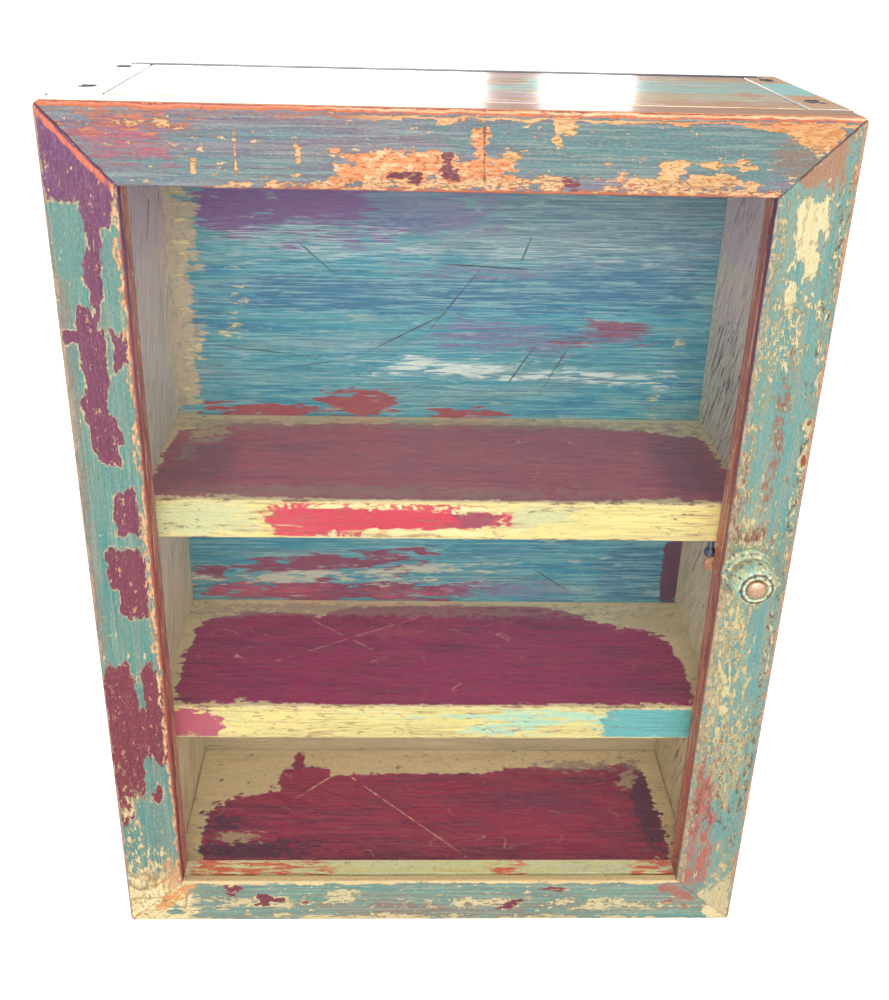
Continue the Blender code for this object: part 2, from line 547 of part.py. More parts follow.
def add_latch(stile, side_board, shelf, pivot):
    """Knob, through bolt, spacer, tongue and nut turn together; the tongue enters a slot in the side."""
    out = Vector((0, -1, 0))
    into = Vector((0, 1, 0))
    tongue_front = CASE_FRONT + LATCH_TONGUE_SETBACK
    tongue_rear = tongue_front + LATCH_TONGUE_THICKNESS
    nut_front = tongue_rear + GAP
    bolt_rear = nut_front + NUT_THICKNESS + BOLT_END
    reach = RIGHT - LATCH_AXIS.x - LATCH_WALL
    at = LATCH_AXIS

    foot = Vector((at.x, FRONT - GAP, at.z))
    knob = turned("knob", knob_profile(), foot, finish("knob_paint", (0.35, 0.45, 0.42), 0.5), pivot, sides=32)
    turn_towards(knob, into)

    seat = FRONT - GAP - KNOB_LENGTH + KNOB_SINK_DEPTH - GAP
    shank = bolt_rear - seat
    rise = BOLT_HEAD_HEIGHT * 0.3
    dome = [(BOLT_HEAD_RADIUS * math.cos(math.radians(a)),
             rise + (BOLT_HEAD_HEIGHT - rise) * math.sin(math.radians(a))) for a in range(0, 76, 15)]
    bolt_profile = [(0, -shank), (BOLT_RADIUS, -shank), (BOLT_RADIUS, 0), (BOLT_HEAD_RADIUS, 0)] + dome
    bolt_profile += [(0, BOLT_HEAD_HEIGHT)]
    bolt = turned("knob_bolt", bolt_profile, (at.x, seat, at.z),
                  finish("bolt_copper", (0.72, 0.42, 0.33), 0.35, 0.9), pivot, sides=32)
    turn_towards(bolt, into)

    bore = as_guide(cylinder_along("bolt_bore", BOLT_RADIUS + GAP, (at.x, FRONT - KNOB_LENGTH - OVERCUT, at.z),
                                   into, DEPTH / 2 + KNOB_LENGTH + OVERCUT, pivot))
    spacer_start = Vector((at.x, DOOR_BACK + GAP, at.z))
    spacer_length = tongue_front - GAP - spacer_start.y
    spacer = cylinder_along("latch_spacer", SPACER_RADIUS, spacer_start, into, spacer_length, pivot)
    spacer.data.materials.append(finish("spacer_steel", (0.45, 0.40, 0.35), 0.4, 0.9))

    tongue_paint = finish("latch_paint", (0.75, 0.30, 0.20), 0.5)
    half = LATCH_TONGUE_HALF_WIDTH
    outline = arc((0, 0), half, 0, 180, 10) + arc((0, half - reach), half, 180, 360, 10)
    tongue = plate("latch_tongue", outline, LATCH_TONGUE_THICKNESS, (at.x, tongue_front, at.z), tongue_paint, pivot)
    tongue.rotation_euler = (0, rest_tilt(), 0)
    ease_edges(tongue, 0.0006, 1)

    nut = cylinder_along("latch_nut", NUT_RADIUS, (at.x, nut_front, at.z), into, NUT_THICKNESS, pivot, sides=6)
    nut.data.materials.append(finish("nut_steel", (0.35, 0.33, 0.32), 0.4, 0.9))
    for piece in (knob, spacer, tongue, nut, stile):
        combine(piece, bore)

    sweep = reach + LATCH_SWEEP_PLAY
    head_room = half + LATCH_SWEEP_PLAY
    slot_outline = [(-sweep, head_room)] + arc((0, 0), sweep, 180, 360, 24) + [(sweep, head_room)]
    slot = plate("latch_slot", slot_outline, LATCH_TONGUE_THICKNESS + 2 * LATCH_SWEEP_PLAY,
                 (at.x, tongue_front - LATCH_SWEEP_PLAY, at.z))
    combine(side_board, as_guide(slot))
    relief = cylinder_along("latch_relief", NUT_RADIUS + LATCH_SWEEP_PLAY, (at.x, DOOR_BACK, at.z), into,
                            bolt_rear + LATCH_SWEEP_PLAY - DOOR_BACK)
    combine(side_board, as_guide(relief))

    add_stop_peg(shelf, out)


def add_stop_peg(shelf, out):
    """A ball-ended peg in the shelf's underside, which the tongue rests against when the door is unlatched."""
    low = -PEG_HANG
    neck_angle = math.degrees(math.acos(PEG_NECK_RADIUS / PEG_BALL_RADIUS))
    ball = arc((0, low), PEG_BALL_RADIUS, neck_angle, -90, 8)[:-1]
    profile = [(0, PEG_TENON_LENGTH), (PEG_TENON_RADIUS, PEG_TENON_LENGTH), (PEG_TENON_RADIUS, 0),
               (PEG_NECK_RADIUS, -GAP)] + ball + [(0, low - PEG_BALL_RADIUS)]
    place = Vector((LATCH_AXIS.x - PEG_OFFSET, CASE_FRONT, SHELF_UPPER_UNDERSIDE)) - out * PEG_SETBACK
    turned("stop_peg", profile, place, finish("peg_paint", (0.03, 0.05, 0.20), 0.4), sides=16)
    hole = cylinder_along("stop_peg_hole", PEG_TENON_RADIUS + GAP, place + Vector((0, 0, PEG_TENON_LENGTH + GAP)),
                          Vector((0, 0, -1)), PEG_TENON_LENGTH + GAP + OVERCUT)
    combine(shelf, as_guide(hole))


def build_cabinet():
    clear_scene()
    boards = add_case()
    add_nails(boards)
    door_axis = axis_empty("door_hinge_axis", HINGE_AXIS)
    members = add_door_frame(door_axis)
    add_glazing(door_axis)
    for name, z in (("hinge_low", HINGE_INSET), ("hinge_high", HEIGHT - HINGE_INSET)):
        add_hinge(name, z, boards["left"], members["left"], door_axis)
    latch_axis = axis_empty("latch_axis", LATCH_AXIS, door_axis)
    add_latch(members["right"], boards["right"], boards["shelf_upper"], latch_axis)


build_cabinet()
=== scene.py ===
"""Looks of a rustic painted wall cabinet with a glazed door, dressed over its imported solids."""
import math

import bmesh
import bpy
from mathutils import Matrix, Vector

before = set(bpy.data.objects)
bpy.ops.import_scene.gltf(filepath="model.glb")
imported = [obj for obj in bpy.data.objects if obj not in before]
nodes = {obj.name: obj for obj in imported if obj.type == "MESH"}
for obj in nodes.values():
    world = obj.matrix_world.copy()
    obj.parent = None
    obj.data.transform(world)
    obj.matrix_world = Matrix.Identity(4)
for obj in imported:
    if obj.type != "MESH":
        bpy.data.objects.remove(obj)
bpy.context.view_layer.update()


# The room: a pale floor that runs out of sight, an even white sky, and soft lamps. The camera
# stands in front of the cabinet's left half, looks down at it by about 26 degrees, and takes in
# all of it.
EYE = Vector((-0.0286, -0.7390, 0.6812))
PITCH, ROLL, YAW = 0.4489, 0.0269, 0.0387
SENSOR = 36.0
FOCAL_SHARE = 1.16806  # focal length over the picture's height
SHIFT = (0.0050, -0.0187)
NEAREST, FARTHEST = 0.01, 200.0

turn = (Matrix.Rotation(ROLL, 3, "Y") @ Matrix.Rotation(PITCH, 3, "X")
        @ Matrix.Rotation(YAW, 3, "Z"))
right, ahead, up = turn.transposed().col
lens = bpy.data.cameras.new("camera")
lens.lens = FOCAL_SHARE * SENSOR
lens.sensor_width = SENSOR
lens.shift_x, lens.shift_y = SHIFT
lens.clip_start, lens.clip_end = NEAREST, FARTHEST
camera = bpy.data.objects.new("camera", lens)
camera.matrix_world = Matrix((right, up, -ahead)).transposed().to_4x4()
camera.location = EYE
bpy.context.scene.collection.objects.link(camera)
bpy.context.scene.camera = camera
bpy.context.scene.view_settings.view_transform = "Standard"

SKY_COLOUR = (1.0, 0.985, 0.97, 1.0)
SKY_LIGHT = 0.36  # how strongly the sky lights the cabinet, where the eye sees it at 1

sky = bpy.data.worlds.new("white_room")
sky.use_nodes = True
background = sky.node_tree.nodes["Background"].inputs
background["Color"].default_value = SKY_COLOUR
sky_seen = sky.node_tree.nodes.new("ShaderNodeLightPath").outputs["Is Camera Ray"]
sky_strength = sky.node_tree.nodes.new("ShaderNodeMapRange")
sky_strength.inputs["To Min"].default_value = SKY_LIGHT
sky.node_tree.links.new(sky_seen, sky_strength.inputs["Value"])
sky.node_tree.links.new(sky_strength.outputs[0], background["Strength"])
bpy.context.scene.world = sky

CABINET_MIDDLE = (0, 0, 0.30)
WARM_LIGHT, DAYLIGHT = (1.0, 0.96, 0.90), (1.0, 1.0, 1.0)


def lamp(name, place, aim, size, watts, colour=WARM_LIGHT):
    """Hang a soft rectangular lamp at a place, and turn it to what it lights."""
    light = bpy.data.lights.new(name, "AREA")
    light.shape = "RECTANGLE"
    light.size, light.size_y = size
    light.energy = watts
    light.color = colour
    item = bpy.data.objects.new(name, light)
    item.location = place
    item.rotation_mode = "QUATERNION"
    item.rotation_quaternion = (Vector(aim) - Vector(place)).to_track_quat("-Z", "Y")
    bpy.context.scene.collection.objects.link(item)


lamp("left_lamp", (-2.0, -2.0, 0.95), CABINET_MIDDLE, size=(1.2, 1.2), watts=19)
lamp("right_lamp", (2.0, -2.0, 0.95), CABINET_MIDDLE, size=(1.2, 1.2), watts=19)
lamp("high_front_lamp", (0.1, -2.0, 2.1), CABINET_MIDDLE, size=(1.8, 1.0), watts=12)
lamp("low_front_lamp", (-0.05, -2.3, 1.3), CABINET_MIDDLE, size=(1.0, 0.8), watts=38)
lamp("ceiling_lamp", (0.1, 0.55, 1.7), (0.05, 0, 0.59), size=(0.8, 0.5), watts=4.2)
lamp("window_left", (-0.275, 1.35, 0.80), (-0.275, 0, 0.80), (0.77, 0.5), 3.85, DAYLIGHT)
lamp("window_right", (0.2875, 1.35, 0.80), (0.2875, 0, 0.80), (0.155, 0.5), 0.78, DAYLIGHT)

FLOOR_HALF = 60.0
FLOOR_DROP = 0.0005  # the floor lies this far below the cabinet's underside
FLOOR_GREY = (0.85, 0.85, 0.85, 1)

ground = bmesh.new()
bmesh.ops.create_grid(ground, x_segments=1, y_segments=1, size=FLOOR_HALF)
bmesh.ops.translate(ground, vec=(0, 0, -FLOOR_DROP), verts=ground.verts)
floor = bpy.data.objects.new("floor", bpy.data.meshes.new("floor"))
ground.to_mesh(floor.data)
ground.free()
floor_white = bpy.data.materials.new("floor_white")
floor_white.use_nodes = True
floor_finish = floor_white.node_tree.nodes["Principled BSDF"].inputs
floor_finish["Base Color"].default_value = FLOOR_GREY
floor_finish["Roughness"].default_value = 0.9
floor_finish["Emission Color"].default_value = (1, 1, 1, 1)
seen = floor_white.node_tree.nodes.new("ShaderNodeLightPath").outputs
seen_at_all = floor_white.node_tree.nodes.new("ShaderNodeMath")
floor_white.node_tree.links.new(seen["Is Camera Ray"], seen_at_all.inputs[0])
floor_white.node_tree.links.new(seen["Is Transmission Ray"], seen_at_all.inputs[1])
floor_white.node_tree.links.new(seen_at_all.outputs[0], floor_finish["Emission Strength"])
floor.data.materials.append(floor_white)
bpy.context.scene.collection.objects.link(floor)


# The back board: one 12 mm panel, brushed with blue, teal and purple milk paint, scraped back to
# pale ground in streaks. It is nailed into the sides' rebates and closes the case from behind.
BRIGHTEST = 0.9  # no paint sends back a larger share of the light


def hue(code, strength=1.0):
    """A paint's colour as linear light, from its six-figure screen colour."""
    parts = [int(code[at:at + 2], 16) / 255 for at in (0, 2, 4)]
    linear = [part / 12.92 if part <= 0.04045 else ((part + 0.055) / 1.055) ** 2.4
              for part in parts]
    return (*(min(BRIGHTEST, strength * part) for part in linear), 1.0)


def feed(tree, value, socket):
    """Give a socket a number, or link another node's output to it."""
    if isinstance(value, bpy.types.NodeSocket):
        tree.links.new(value, socket)
    elif value is not None:
        socket.default_value = value


def add(tree, kind, *values, output=0, **settings):
    """Add a shader node, feed the values to its sockets in order, and give one of its outputs."""
    made = tree.nodes.new("ShaderNode" + kind)
    for name, value in settings.items():
        setattr(made, name, value)
    for socket, value in zip(made.inputs, values):
        feed(tree, value, socket)
    return made.outputs[output]


def calc(tree, operation, *values, clamp=False):
    return add(tree, "Math", *values, operation=operation, use_clamp=clamp)


def vector(tree, operation, *values, output=0):
    return add(tree, "VectorMath", *values, operation=operation, output=output)


def noise(tree, place, scale, detail, roughness, lacunarity=2.0, distortion=0.0):
    """An uneven value about 0.5, with finer and finer clouds laid over the first."""
    return add(tree, "TexNoise", place, None, scale, detail, roughness, lacunarity,
               None, None, distortion)


def soften(tree, value, edge):
    """A mask that is half full where a value is 0, with a soft edge as wide as is given."""
    return calc(tree, "ADD", calc(tree, "DIVIDE", value, edge), 0.5, clamp=True)


def effect(name, inputs, output):
    """A node group with one output: its tree, its inputs' sockets, and its output's socket."""
    group = bpy.data.node_groups.new(name, "ShaderNodeTree")
    for label in inputs:
        in_space = label in ("Place", "Centre", "Half size", "Stretch")
        kind = "NodeSocketVector" if in_space else "NodeSocketFloat"
        group.interface.new_socket(name=label, in_out="INPUT", socket_type=kind)
    group.interface.new_socket(name=output, in_out="OUTPUT", socket_type="NodeSocketFloat")
    given = group.nodes.new("NodeGroupInput").outputs
    return group, given, group.nodes.new("NodeGroupOutput").inputs[0]


# Unevenness about 0, drawn out along the grain. It makes edges ragged and gloss uneven.
ragged_effect, given, out = effect("ragged", ("Place", "Stretch"), "Value")
drawn = vector(ragged_effect, "MULTIPLY", given["Place"], given["Stretch"])
cloud = noise(ragged_effect, drawn, 1.3, 9.0, 0.62, 2.1)
ragged_effect.links.new(calc(ragged_effect, "SUBTRACT", cloud, 0.5), out)

# A ragged patch of paint: a rounded block about a centre, with its edge pushed about.
patch_effect, given, out = effect(
    "paint_patch", ("Place", "Centre", "Half size", "Ragged", "Tatter", "Edge"), "Mask")
offset = vector(patch_effect, "SUBTRACT", given["Place"], given["Centre"])
share = vector(patch_effect, "DIVIDE", offset, given["Half size"])
square = vector(patch_effect, "MULTIPLY", share, share)
fourth = vector(patch_effect, "DOT_PRODUCT", square, square, output=1)
away = calc(patch_effect, "POWER", fourth, 0.25)
pushed = calc(patch_effect, "MULTIPLY_ADD", given["Ragged"], given["Tatter"], away)
inside = calc(patch_effect, "SUBTRACT", 1.0, pushed)
patch_effect.links.new(soften(patch_effect, inside, given["Edge"]), out)

# Brush marks: a noise drawn out along the strokes.
stroke_effect, given, out = effect("brush_strokes", ("Place", "Stretch", "Detail"), "Value")
drawn = vector(stroke_effect, "MULTIPLY", given["Place"], given["Stretch"])
marks = noise(stroke_effect, drawn, 1.0, given["Detail"], 0.68, 2.1, 0.35)
stroke_effect.links.new(add(stroke_effect, "MapRange", marks, 0.3, 0.7, 0.0, 1.0), out)

# Flakes: chips where a layer has come away. The level says how much of it is gone.
flake_effect, given, out = effect("paint_flakes", ("Place", "Stretch", "Level", "Edge"), "Mask")
drawn = vector(flake_effect, "MULTIPLY", given["Place"], given["Stretch"])
chips = noise(flake_effect, drawn, 1.0, 8.0, 0.7, 2.2, 0.15)
line = calc(flake_effect, "MULTIPLY_ADD", given["Level"], -0.46, 0.73)
over = calc(flake_effect, "SUBTRACT", chips, line)
flake_effect.links.new(soften(flake_effect, over, given["Edge"]), out)

# Distance in millimetres from the nearest edge of a block, measured over its faces.
edge_effect, given, out = effect("edge_distance", ("Place", "Centre", "Half size"), "Distance")
offset = vector(edge_effect, "SUBTRACT", given["Place"], given["Centre"])
inward = vector(edge_effect, "SUBTRACT", given["Half size"],
                vector(edge_effect, "ABSOLUTE", offset))
depth = vector(edge_effect, "ABSOLUTE", inward)
split = add(edge_effect, "SeparateXYZ", depth).node.outputs
least = calc(edge_effect, "MINIMUM", split[0], split[1])
most = calc(edge_effect, "MAXIMUM", split[0], split[1])
rest = calc(edge_effect, "MINIMUM", most, split[2])
edge_effect.links.new(calc(edge_effect, "MAXIMUM", least, rest), out)

# Edge wear: full where a distance, pushed about by the ragged value, is less than a width.
WEAR_EDGE = 0.5
wear_effect, given, out = effect("edge_wear", ("Distance", "Ragged", "Tatter", "Width"), "Mask")
uneven = calc(wear_effect, "MULTIPLY_ADD", given["Ragged"], given["Tatter"], given["Distance"])
within = calc(wear_effect, "SUBTRACT", given["Width"], uneven)
wear_effect.links.new(soften(wear_effect, within, WEAR_EDGE), out)

# Scratches: thin lines drawn along a direction, broken up by a slower noise.
scratch_effect, given, out = effect("scratches", ("Place", "Stretch", "Width", "Amount"), "Mask")
drawn = vector(scratch_effect, "MULTIPLY", given["Place"], given["Stretch"])
wander = noise(scratch_effect, drawn, 1.0, 2.0, 0.4, 2.0, 0.6)
aside = calc(scratch_effect, "ABSOLUTE", calc(scratch_effect, "SUBTRACT", wander, 0.5))
thin = calc(scratch_effect, "DIVIDE", aside, given["Width"])
trace = calc(scratch_effect, "SUBTRACT", 1.0, thin, clamp=True)
breaks = noise(scratch_effect, given["Place"], 0.045, 2.0, 0.5)
wanted = calc(scratch_effect, "ADD", breaks, given["Amount"])
kept = add(scratch_effect, "MapRange", wanted, 0.55, 0.62, 0.0, 1.0)
scratch_effect.links.new(calc(scratch_effect, "MULTIPLY", trace, kept), out)

# Grit: fine mottling along the grain, from -1 for pale to 1 for dark.
grit_effect, given, out = effect("paint_grit", ("Place", "Stretch"), "Value")
drawn = vector(grit_effect, "MULTIPLY", given["Place"], given["Stretch"])
specks = noise(grit_effect, drawn, 6.0, 5.0, 0.75, 2.3)
grit_effect.links.new(add(grit_effect, "MapRange", specks, 0.32, 0.68, -1.0, 1.0), out)

RAGGED_REACH = 7.0  # a tatter of 1 pushes an edge about by up to half of this, in millimetres
NO_LIMIT = 1e5
GRIT_DARK, GRIT_PALE = "4a3a3c", "efe6d2"
PALE_GRIT_SHARE = -0.35


class Coat:
    """The paint on one piece, laid in order. A layer has a mask, a colour and a thickness in mm.

    The grain says how fast the marks change along X, Y and Z, per millimetre. The face names the
    two directions that patches are placed in. The strength brightens the colours laid after it.
    """

    def __init__(self, name, face="xz", grain=(0.06, 0.1, 0.14), shine=0.45, strength=0.66,
                 grit=0.3):
        self.material = bpy.data.materials.new(name)
        self.material.use_nodes = True
        self.tree = self.material.node_tree
        self.face, self.grain, self.strength, self.grit = face, grain, strength, grit
        metres = add(self.tree, "TexCoord", output=3)
        self.place = vector(self.tree, "MULTIPLY", metres, (1000, 1000, 1000))
        self.across = add(self.tree, "SeparateXYZ", self.place).node.outputs
        self.ragged = self.use(ragged_effect, self.place, grain)
        self.rough = self.calc("MULTIPLY_ADD", self.ragged, 0.5, shine)
        self.colour, self.height = None, 0.0

    def calc(self, operation, *values, clamp=False):
        return calc(self.tree, operation, *values, clamp=clamp)

    def use(self, group, *values):
        """Place a node group, and give its output."""
        made = self.tree.nodes.new("ShaderNodeGroup")
        made.node_tree = group
        for socket, value in zip(made.inputs, values):
            feed(self.tree, value, socket)
        return made.outputs[0]

    def ramp(self, value, *codes):
        """Blend paints by a value, evenly spaced from 0 to 1."""
        made = self.tree.nodes.new("ShaderNodeValToRGB")
        band = made.color_ramp
        for at, code in enumerate(codes):
            where = at / (len(codes) - 1)
            stop = band.elements[at] if at < 2 else band.elements.new(where)
            stop.position, stop.color = where, hue(code, self.strength)
        self.tree.links.new(value, made.inputs[0])
        return made.outputs[0]

    def lay(self, mask, colour, thickness=0.0, outline=None):
        """Lay a colour over a mask, and an outline in the mask's soft edge."""
        mixed = self.tree.nodes.new("ShaderNodeMix")
        mixed.data_type = "RGBA"
        if isinstance(colour, str):
            colour = hue(colour, self.strength)
        for at, value in ((0, mask), (6, self.colour), (7, colour)):
            feed(self.tree, value, mixed.inputs[at])
        self.colour = mixed.outputs[2]
        if thickness:
            self.height = self.calc("MULTIPLY_ADD", mask, thickness, self.height)
        if outline:
            self.lay(self.calc("MULTIPLY", self.calc("PINGPONG", mask, 0.5), 1.5), outline)

    def spot(self, across, along, half_across, half_along, tatter, edge, turned=0):
        """Mask for one patch: its place and half size in millimetres, turned by some degrees."""
        first, second = ["xyz".index(axis) for axis in self.face]
        centre, half = [0.0, 0.0, 0.0], [NO_LIMIT, NO_LIMIT, NO_LIMIT]
        centre[first], centre[second] = across, along
        half[first], half[second] = half_across, half_along
        place = self.place
        if turned:
            outward = [0.0, 0.0, 0.0]
            outward[3 - first - second] = -1.0 if self.face == "xz" else 1.0
            place = self.turned(-turned, outward, centre)
        least = min(half_across, half_along)
        return self.use(patch_effect, place, centre, half, self.ragged,
                        RAGGED_REACH * tatter / least, edge / least)

    def spots(self, places, tatter=3.0, edge=0.5):
        """Mask for several patches. A fifth figure in a place turns that patch."""
        masks = [self.spot(*place[:4], tatter, edge, *place[4:]) for place in places]
        whole = masks[0]
        for mask in masks[1:]:
            whole = self.calc("MAXIMUM", whole, mask)
        return whole

    def turned(self, degrees, axis, centre=(0, 0, 0)):
        """The place, turned about an axis, for marks that run at a slant."""
        return add(self.tree, "VectorRotate", self.place, centre, axis, math.radians(degrees))

    def strokes(self, x, y, z, detail=4.0, place=None):
        """Brush marks from 0 to 1. They change slowly along the strokes and fast across them."""
        place = self.place if place is None else place
        return self.use(stroke_effect, place, (x, y, z), detail)

    def flakes(self, level, size=1.0, edge=0.02):
        """Mask of chips drawn out along the grain."""
        stretch = tuple(part / size for part in self.grain)
        return self.use(flake_effect, self.place, stretch, level, edge)

    def scratches(self, x, y, z, width=0.006, amount=0.03):
        return self.use(scratch_effect, self.place, (x, y, z), width, amount)

    def near(self, distance, width, tatter):
        """Mask where a distance is less than a width, both in millimetres."""
        return self.use(wear_effect, distance, self.ragged, RAGGED_REACH * tatter, width)

    def edges(self, low, high, width, tatter=1.0):
        """Mask along the edges of a block between two corners."""
        centre = [(a + b) / 2 for a, b in zip(low, high)]
        half = [(b - a) / 2 for a, b in zip(low, high)]
        return self.near(self.use(edge_effect, self.place, centre, half), width, tatter)

    def above(self, value, level, edge=0.1):
        """Mask where a value is above a level."""
        return self.calc("MULTIPLY_ADD", self.calc("SUBTRACT", value, level), 1 / edge, 0.5,
                         clamp=True)

    def times(self, *masks):
        whole = masks[0]
        for mask in masks[1:]:
            whole = self.calc("MULTIPLY", whole, mask)
        return whole

    def cover(self, *names, varnish=None, **constants):
        """Put the paint on these nodes, varnished over a mask. The constants set other sockets."""
        self.strength = 1.0
        grit = self.use(grit_effect, self.place, self.grain)
        self.lay(self.calc("MULTIPLY", grit, self.grit, clamp=True), GRIT_DARK, -0.05)
        self.lay(self.calc("MULTIPLY", grit, PALE_GRIT_SHARE * self.grit, clamp=True), GRIT_PALE)
        shader = self.tree.nodes["Principled BSDF"]
        if varnish:
            self.tree.links.new(varnish, shader.inputs["Coat Weight"])
            shader.inputs["Coat Roughness"].default_value = 0.18
        for name, value in constants.items():
            shader.inputs[name.replace("_", " ")].default_value = value
        self.tree.links.new(self.colour, shader.inputs["Base Color"])
        self.tree.links.new(self.rough, shader.inputs["Roughness"])
        relief = self.tree.nodes.new("ShaderNodeBump")
        relief.inputs["Distance"].default_value = 0.001
        self.tree.links.new(self.height, relief.inputs["Height"])
        self.tree.links.new(relief.outputs[0], shader.inputs["Normal"])
        for name in names:
            nodes[name].data.materials.clear()
            nodes[name].data.materials.append(self.material)


PANEL_REAR, PANEL_TOP = 79.0, 589.0

coat = Coat("back_paint", grain=(0.03, 0.1, 0.16), strength=0.95)
broad = coat.strokes(0.008, 0.1, 0.06, 7.0)
fine = coat.strokes(0.014, 0.1, 0.7, 4.0)
coat.colour = coat.ramp(broad, "0a78a4", "148aae", "3a9eb0", "689eaa", "92aab0")
coat.height = coat.calc("MULTIPLY", fine, 0.35)

# Deep blue and slate over the ground, and dark and pale brush lines.
deep = coat.spots([(-30, 436, 140, 13), (135, 446, 56, 18), (160, 205, 26, 26)], 6, 6)
coat.lay(coat.times(deep, 0.85), "146e9a")
slate = coat.spots([(98, 492, 108, 32)], 8, 16)
coat.lay(coat.times(slate, 0.7), "8898a8")
coat.lay(coat.times(coat.above(fine, 0.6, 0.14), 0.55), "226a84")
pale_lines = coat.above(coat.strokes(0.02, 0.1, 0.8, 4.0), 0.6, 0.06)
coat.lay(coat.times(pale_lines, 0.5), "9dd0d2")

# Purple at the upper left, with blue and white drawn through its lower edge.
haze = coat.spots([(-30, 498, 60, 18)], 8, 6)
coat.lay(coat.times(haze, 0.55), "7f6a9c")
purple = coat.spots([(-112, 502, 60, 24), (-76, 478, 34, 6)], 7, 2)
coat.lay(purple, "7d5a94", 0.05)
blue = coat.spots([(-90, 480, 40, 12), (-55, 470, 30, 8)], 5, 3)
coat.lay(coat.times(blue, coat.above(fine, 0.5, 0.15)), "6fa3b4")
white = coat.spots([(-84, 474, 62, 12), (70, 468, 70, 6)], 6, 6)
wisps = coat.above(coat.strokes(0.03, 0.1, 0.9, 6.0), 0.57, 0.06)
coat.lay(coat.times(white, wisps, 0.8), "bcd6d8", 0.03)

# Mauve, plum and red strokes low in the upper compartment, and plum in the middle one.
mauve = coat.spots([(38, 406, 40, 9), (90, 402, 30, 8), (20, 455, 30, 3)], 4, 5)
coat.lay(coat.times(mauve, coat.above(fine, 0.46, 0.2)), "77739a", 0.05)
plum = coat.spots([(134, 410, 22, 8), (105, 404, 20, 4)], 5, 2)
coat.lay(coat.times(plum, coat.above(fine, 0.35, 0.2)), "8a4a66", 0.05)
red = coat.spots([
    (-132, 345, 56, 5), (-78, 353, 10, 6), (-48, 354, 16, 8), (-62, 348, 14, 5),
    (12, 344, 12, 4), (34, 346, 10, 4)], 5.5, 0.6)
coat.lay(red, "a2404c", 0.06)
low_plum = coat.spots([
    (-92, 213, 66, 7, 4), (-40, 221, 24, 4, 8), (-28, 208, 12, 5), (-178, 204, 14, 7),
    (-80, 188, 86, 9), (-20, 192, 62, 5)], 5, 1.0)
coat.lay(coat.times(low_plum, coat.above(fine, 0.12, 0.2)), "8c3a60", 0.06)
pink = coat.spots([(-128, 188, 36, 6), (-30, 186, 24, 3)], 4, 3)
coat.lay(coat.times(pink, coat.above(fine, 0.4, 0.3)), "c24c6a")
lilac = coat.spots([(75, 190, 40, 7)], 5, 5)
coat.lay(coat.times(lilac, 0.6), "7a80a8")

# Streaks and chips scraped back to the pale ground, and single dark scratches.
scraped = coat.spots([(10, 380, 52, 7, 3), (95, 376, 60, 5, -2), (-10, 384, 26, 5)], 4, 3)
streaks = coat.above(coat.strokes(0.03, 0.1, 0.35, 6.0), 0.5, 0.12)
coat.lay(coat.times(scraped, streaks), "dcece4", -0.05)
chipped = coat.times(coat.flakes(0.27, 0.8, 0.03), coat.above(fine, 0.4, 0.2))
coat.lay(coat.times(chipped, 0.5), "b9cfc6", -0.04)
low_streaks = coat.spots([(-70, 205, 90, 3, 3), (-100, 198, 60, 2)], 4, 2)
coat.lay(coat.times(low_streaks, coat.flakes(0.6)), "c9ccb8", -0.04)
single = coat.spots([
    (-20, 410, 26, 0.5, 28), (33, 458, 30, 0.6, -3), (8, 430, 22, 0.4, 52),
    (-125, 392, 26, 0.4, -6), (-98, 382, 24, 0.4, 8), (60, 382, 15, 0.5, 58),
    (88, 384, 16, 0.4, 62), (-88, 462, 16, 0.4, -42), (60, 470, 9, 0.4, 70),
    (95, 200, 14, 0.5, -35)], 0.15, 0.5)
coat.lay(single, "33424e", -0.25)

# Bare wood and chipped yellow up the left edge, plum at the right, and tan under the low shelf.
bare = coat.spots([(-199, 430, 22, 100), (-177, 395, 4, 14), (-180, 480, 6, 20)], 6, 2)
bare_grain = coat.strokes(0.12, 0.1, 0.05, 6.0)
coat.lay(bare, coat.ramp(bare_grain, "9c8f86", "cdbda2", "b8a690"), 0.06)
yellow = coat.spots([
    (-183, 430, 5, 74), (-175, 395, 4, 10), (-146, 436, 5, 9), (-148, 415, 4, 8),
    (-150, 404, 6, 4), (177, 405, 4, 9), (163, 352, 2, 7)], 4, 2)
coat.lay(coat.times(yellow, coat.flakes(0.42, 0.4)), "e6d9a0", 0.08, "8c7c5c")
coat.lay(coat.spots([(193, 210, 8, 32)], 1.5, 1), "5e2750", 0.05)
tan = coat.spots([(0, 70, 250, 82)], 4, 2)
coat.lay(tan, coat.ramp(broad, "b5a384", "ccb994", "bfac8a"), 0.05)
coat.lay(coat.times(tan, coat.flakes(0.2, 0.6)), "8a7462", -0.15)

# The rear: bare brushed wood, with teal brushed over from the sides. The top edge is painted dark:
# the board's own edge, with painted shadow from the gap behind the case.
coat.strength = 0.7
rear = coat.calc("GREATER_THAN", coat.across[1], PANEL_REAR)
rear_grain = coat.strokes(0.01, 0.1, 0.12, 6.0)
coat.lay(rear, coat.ramp(rear_grain, "7d6752", "9a8268", "b29a7c"))
coat.lay(coat.times(rear, coat.above(fine, 0.54, 0.12), 0.6), "5a483a", -0.1)
brushed_over = coat.spots([(-196, 300, 16, 320), (200, 300, 16, 320), (0, 588, 230, 14)], 6, 4)
coat.lay(coat.times(rear, brushed_over, coat.flakes(0.6, 1.5, 0.1)), "5f9a9c", 0.05)
# Painted shadow: the top edge in dark grey-purple, for the gap behind the case.
coat.lay(coat.calc("GREATER_THAN", coat.across[2], PANEL_TOP), "4c4660")
coat.cover("back_board")


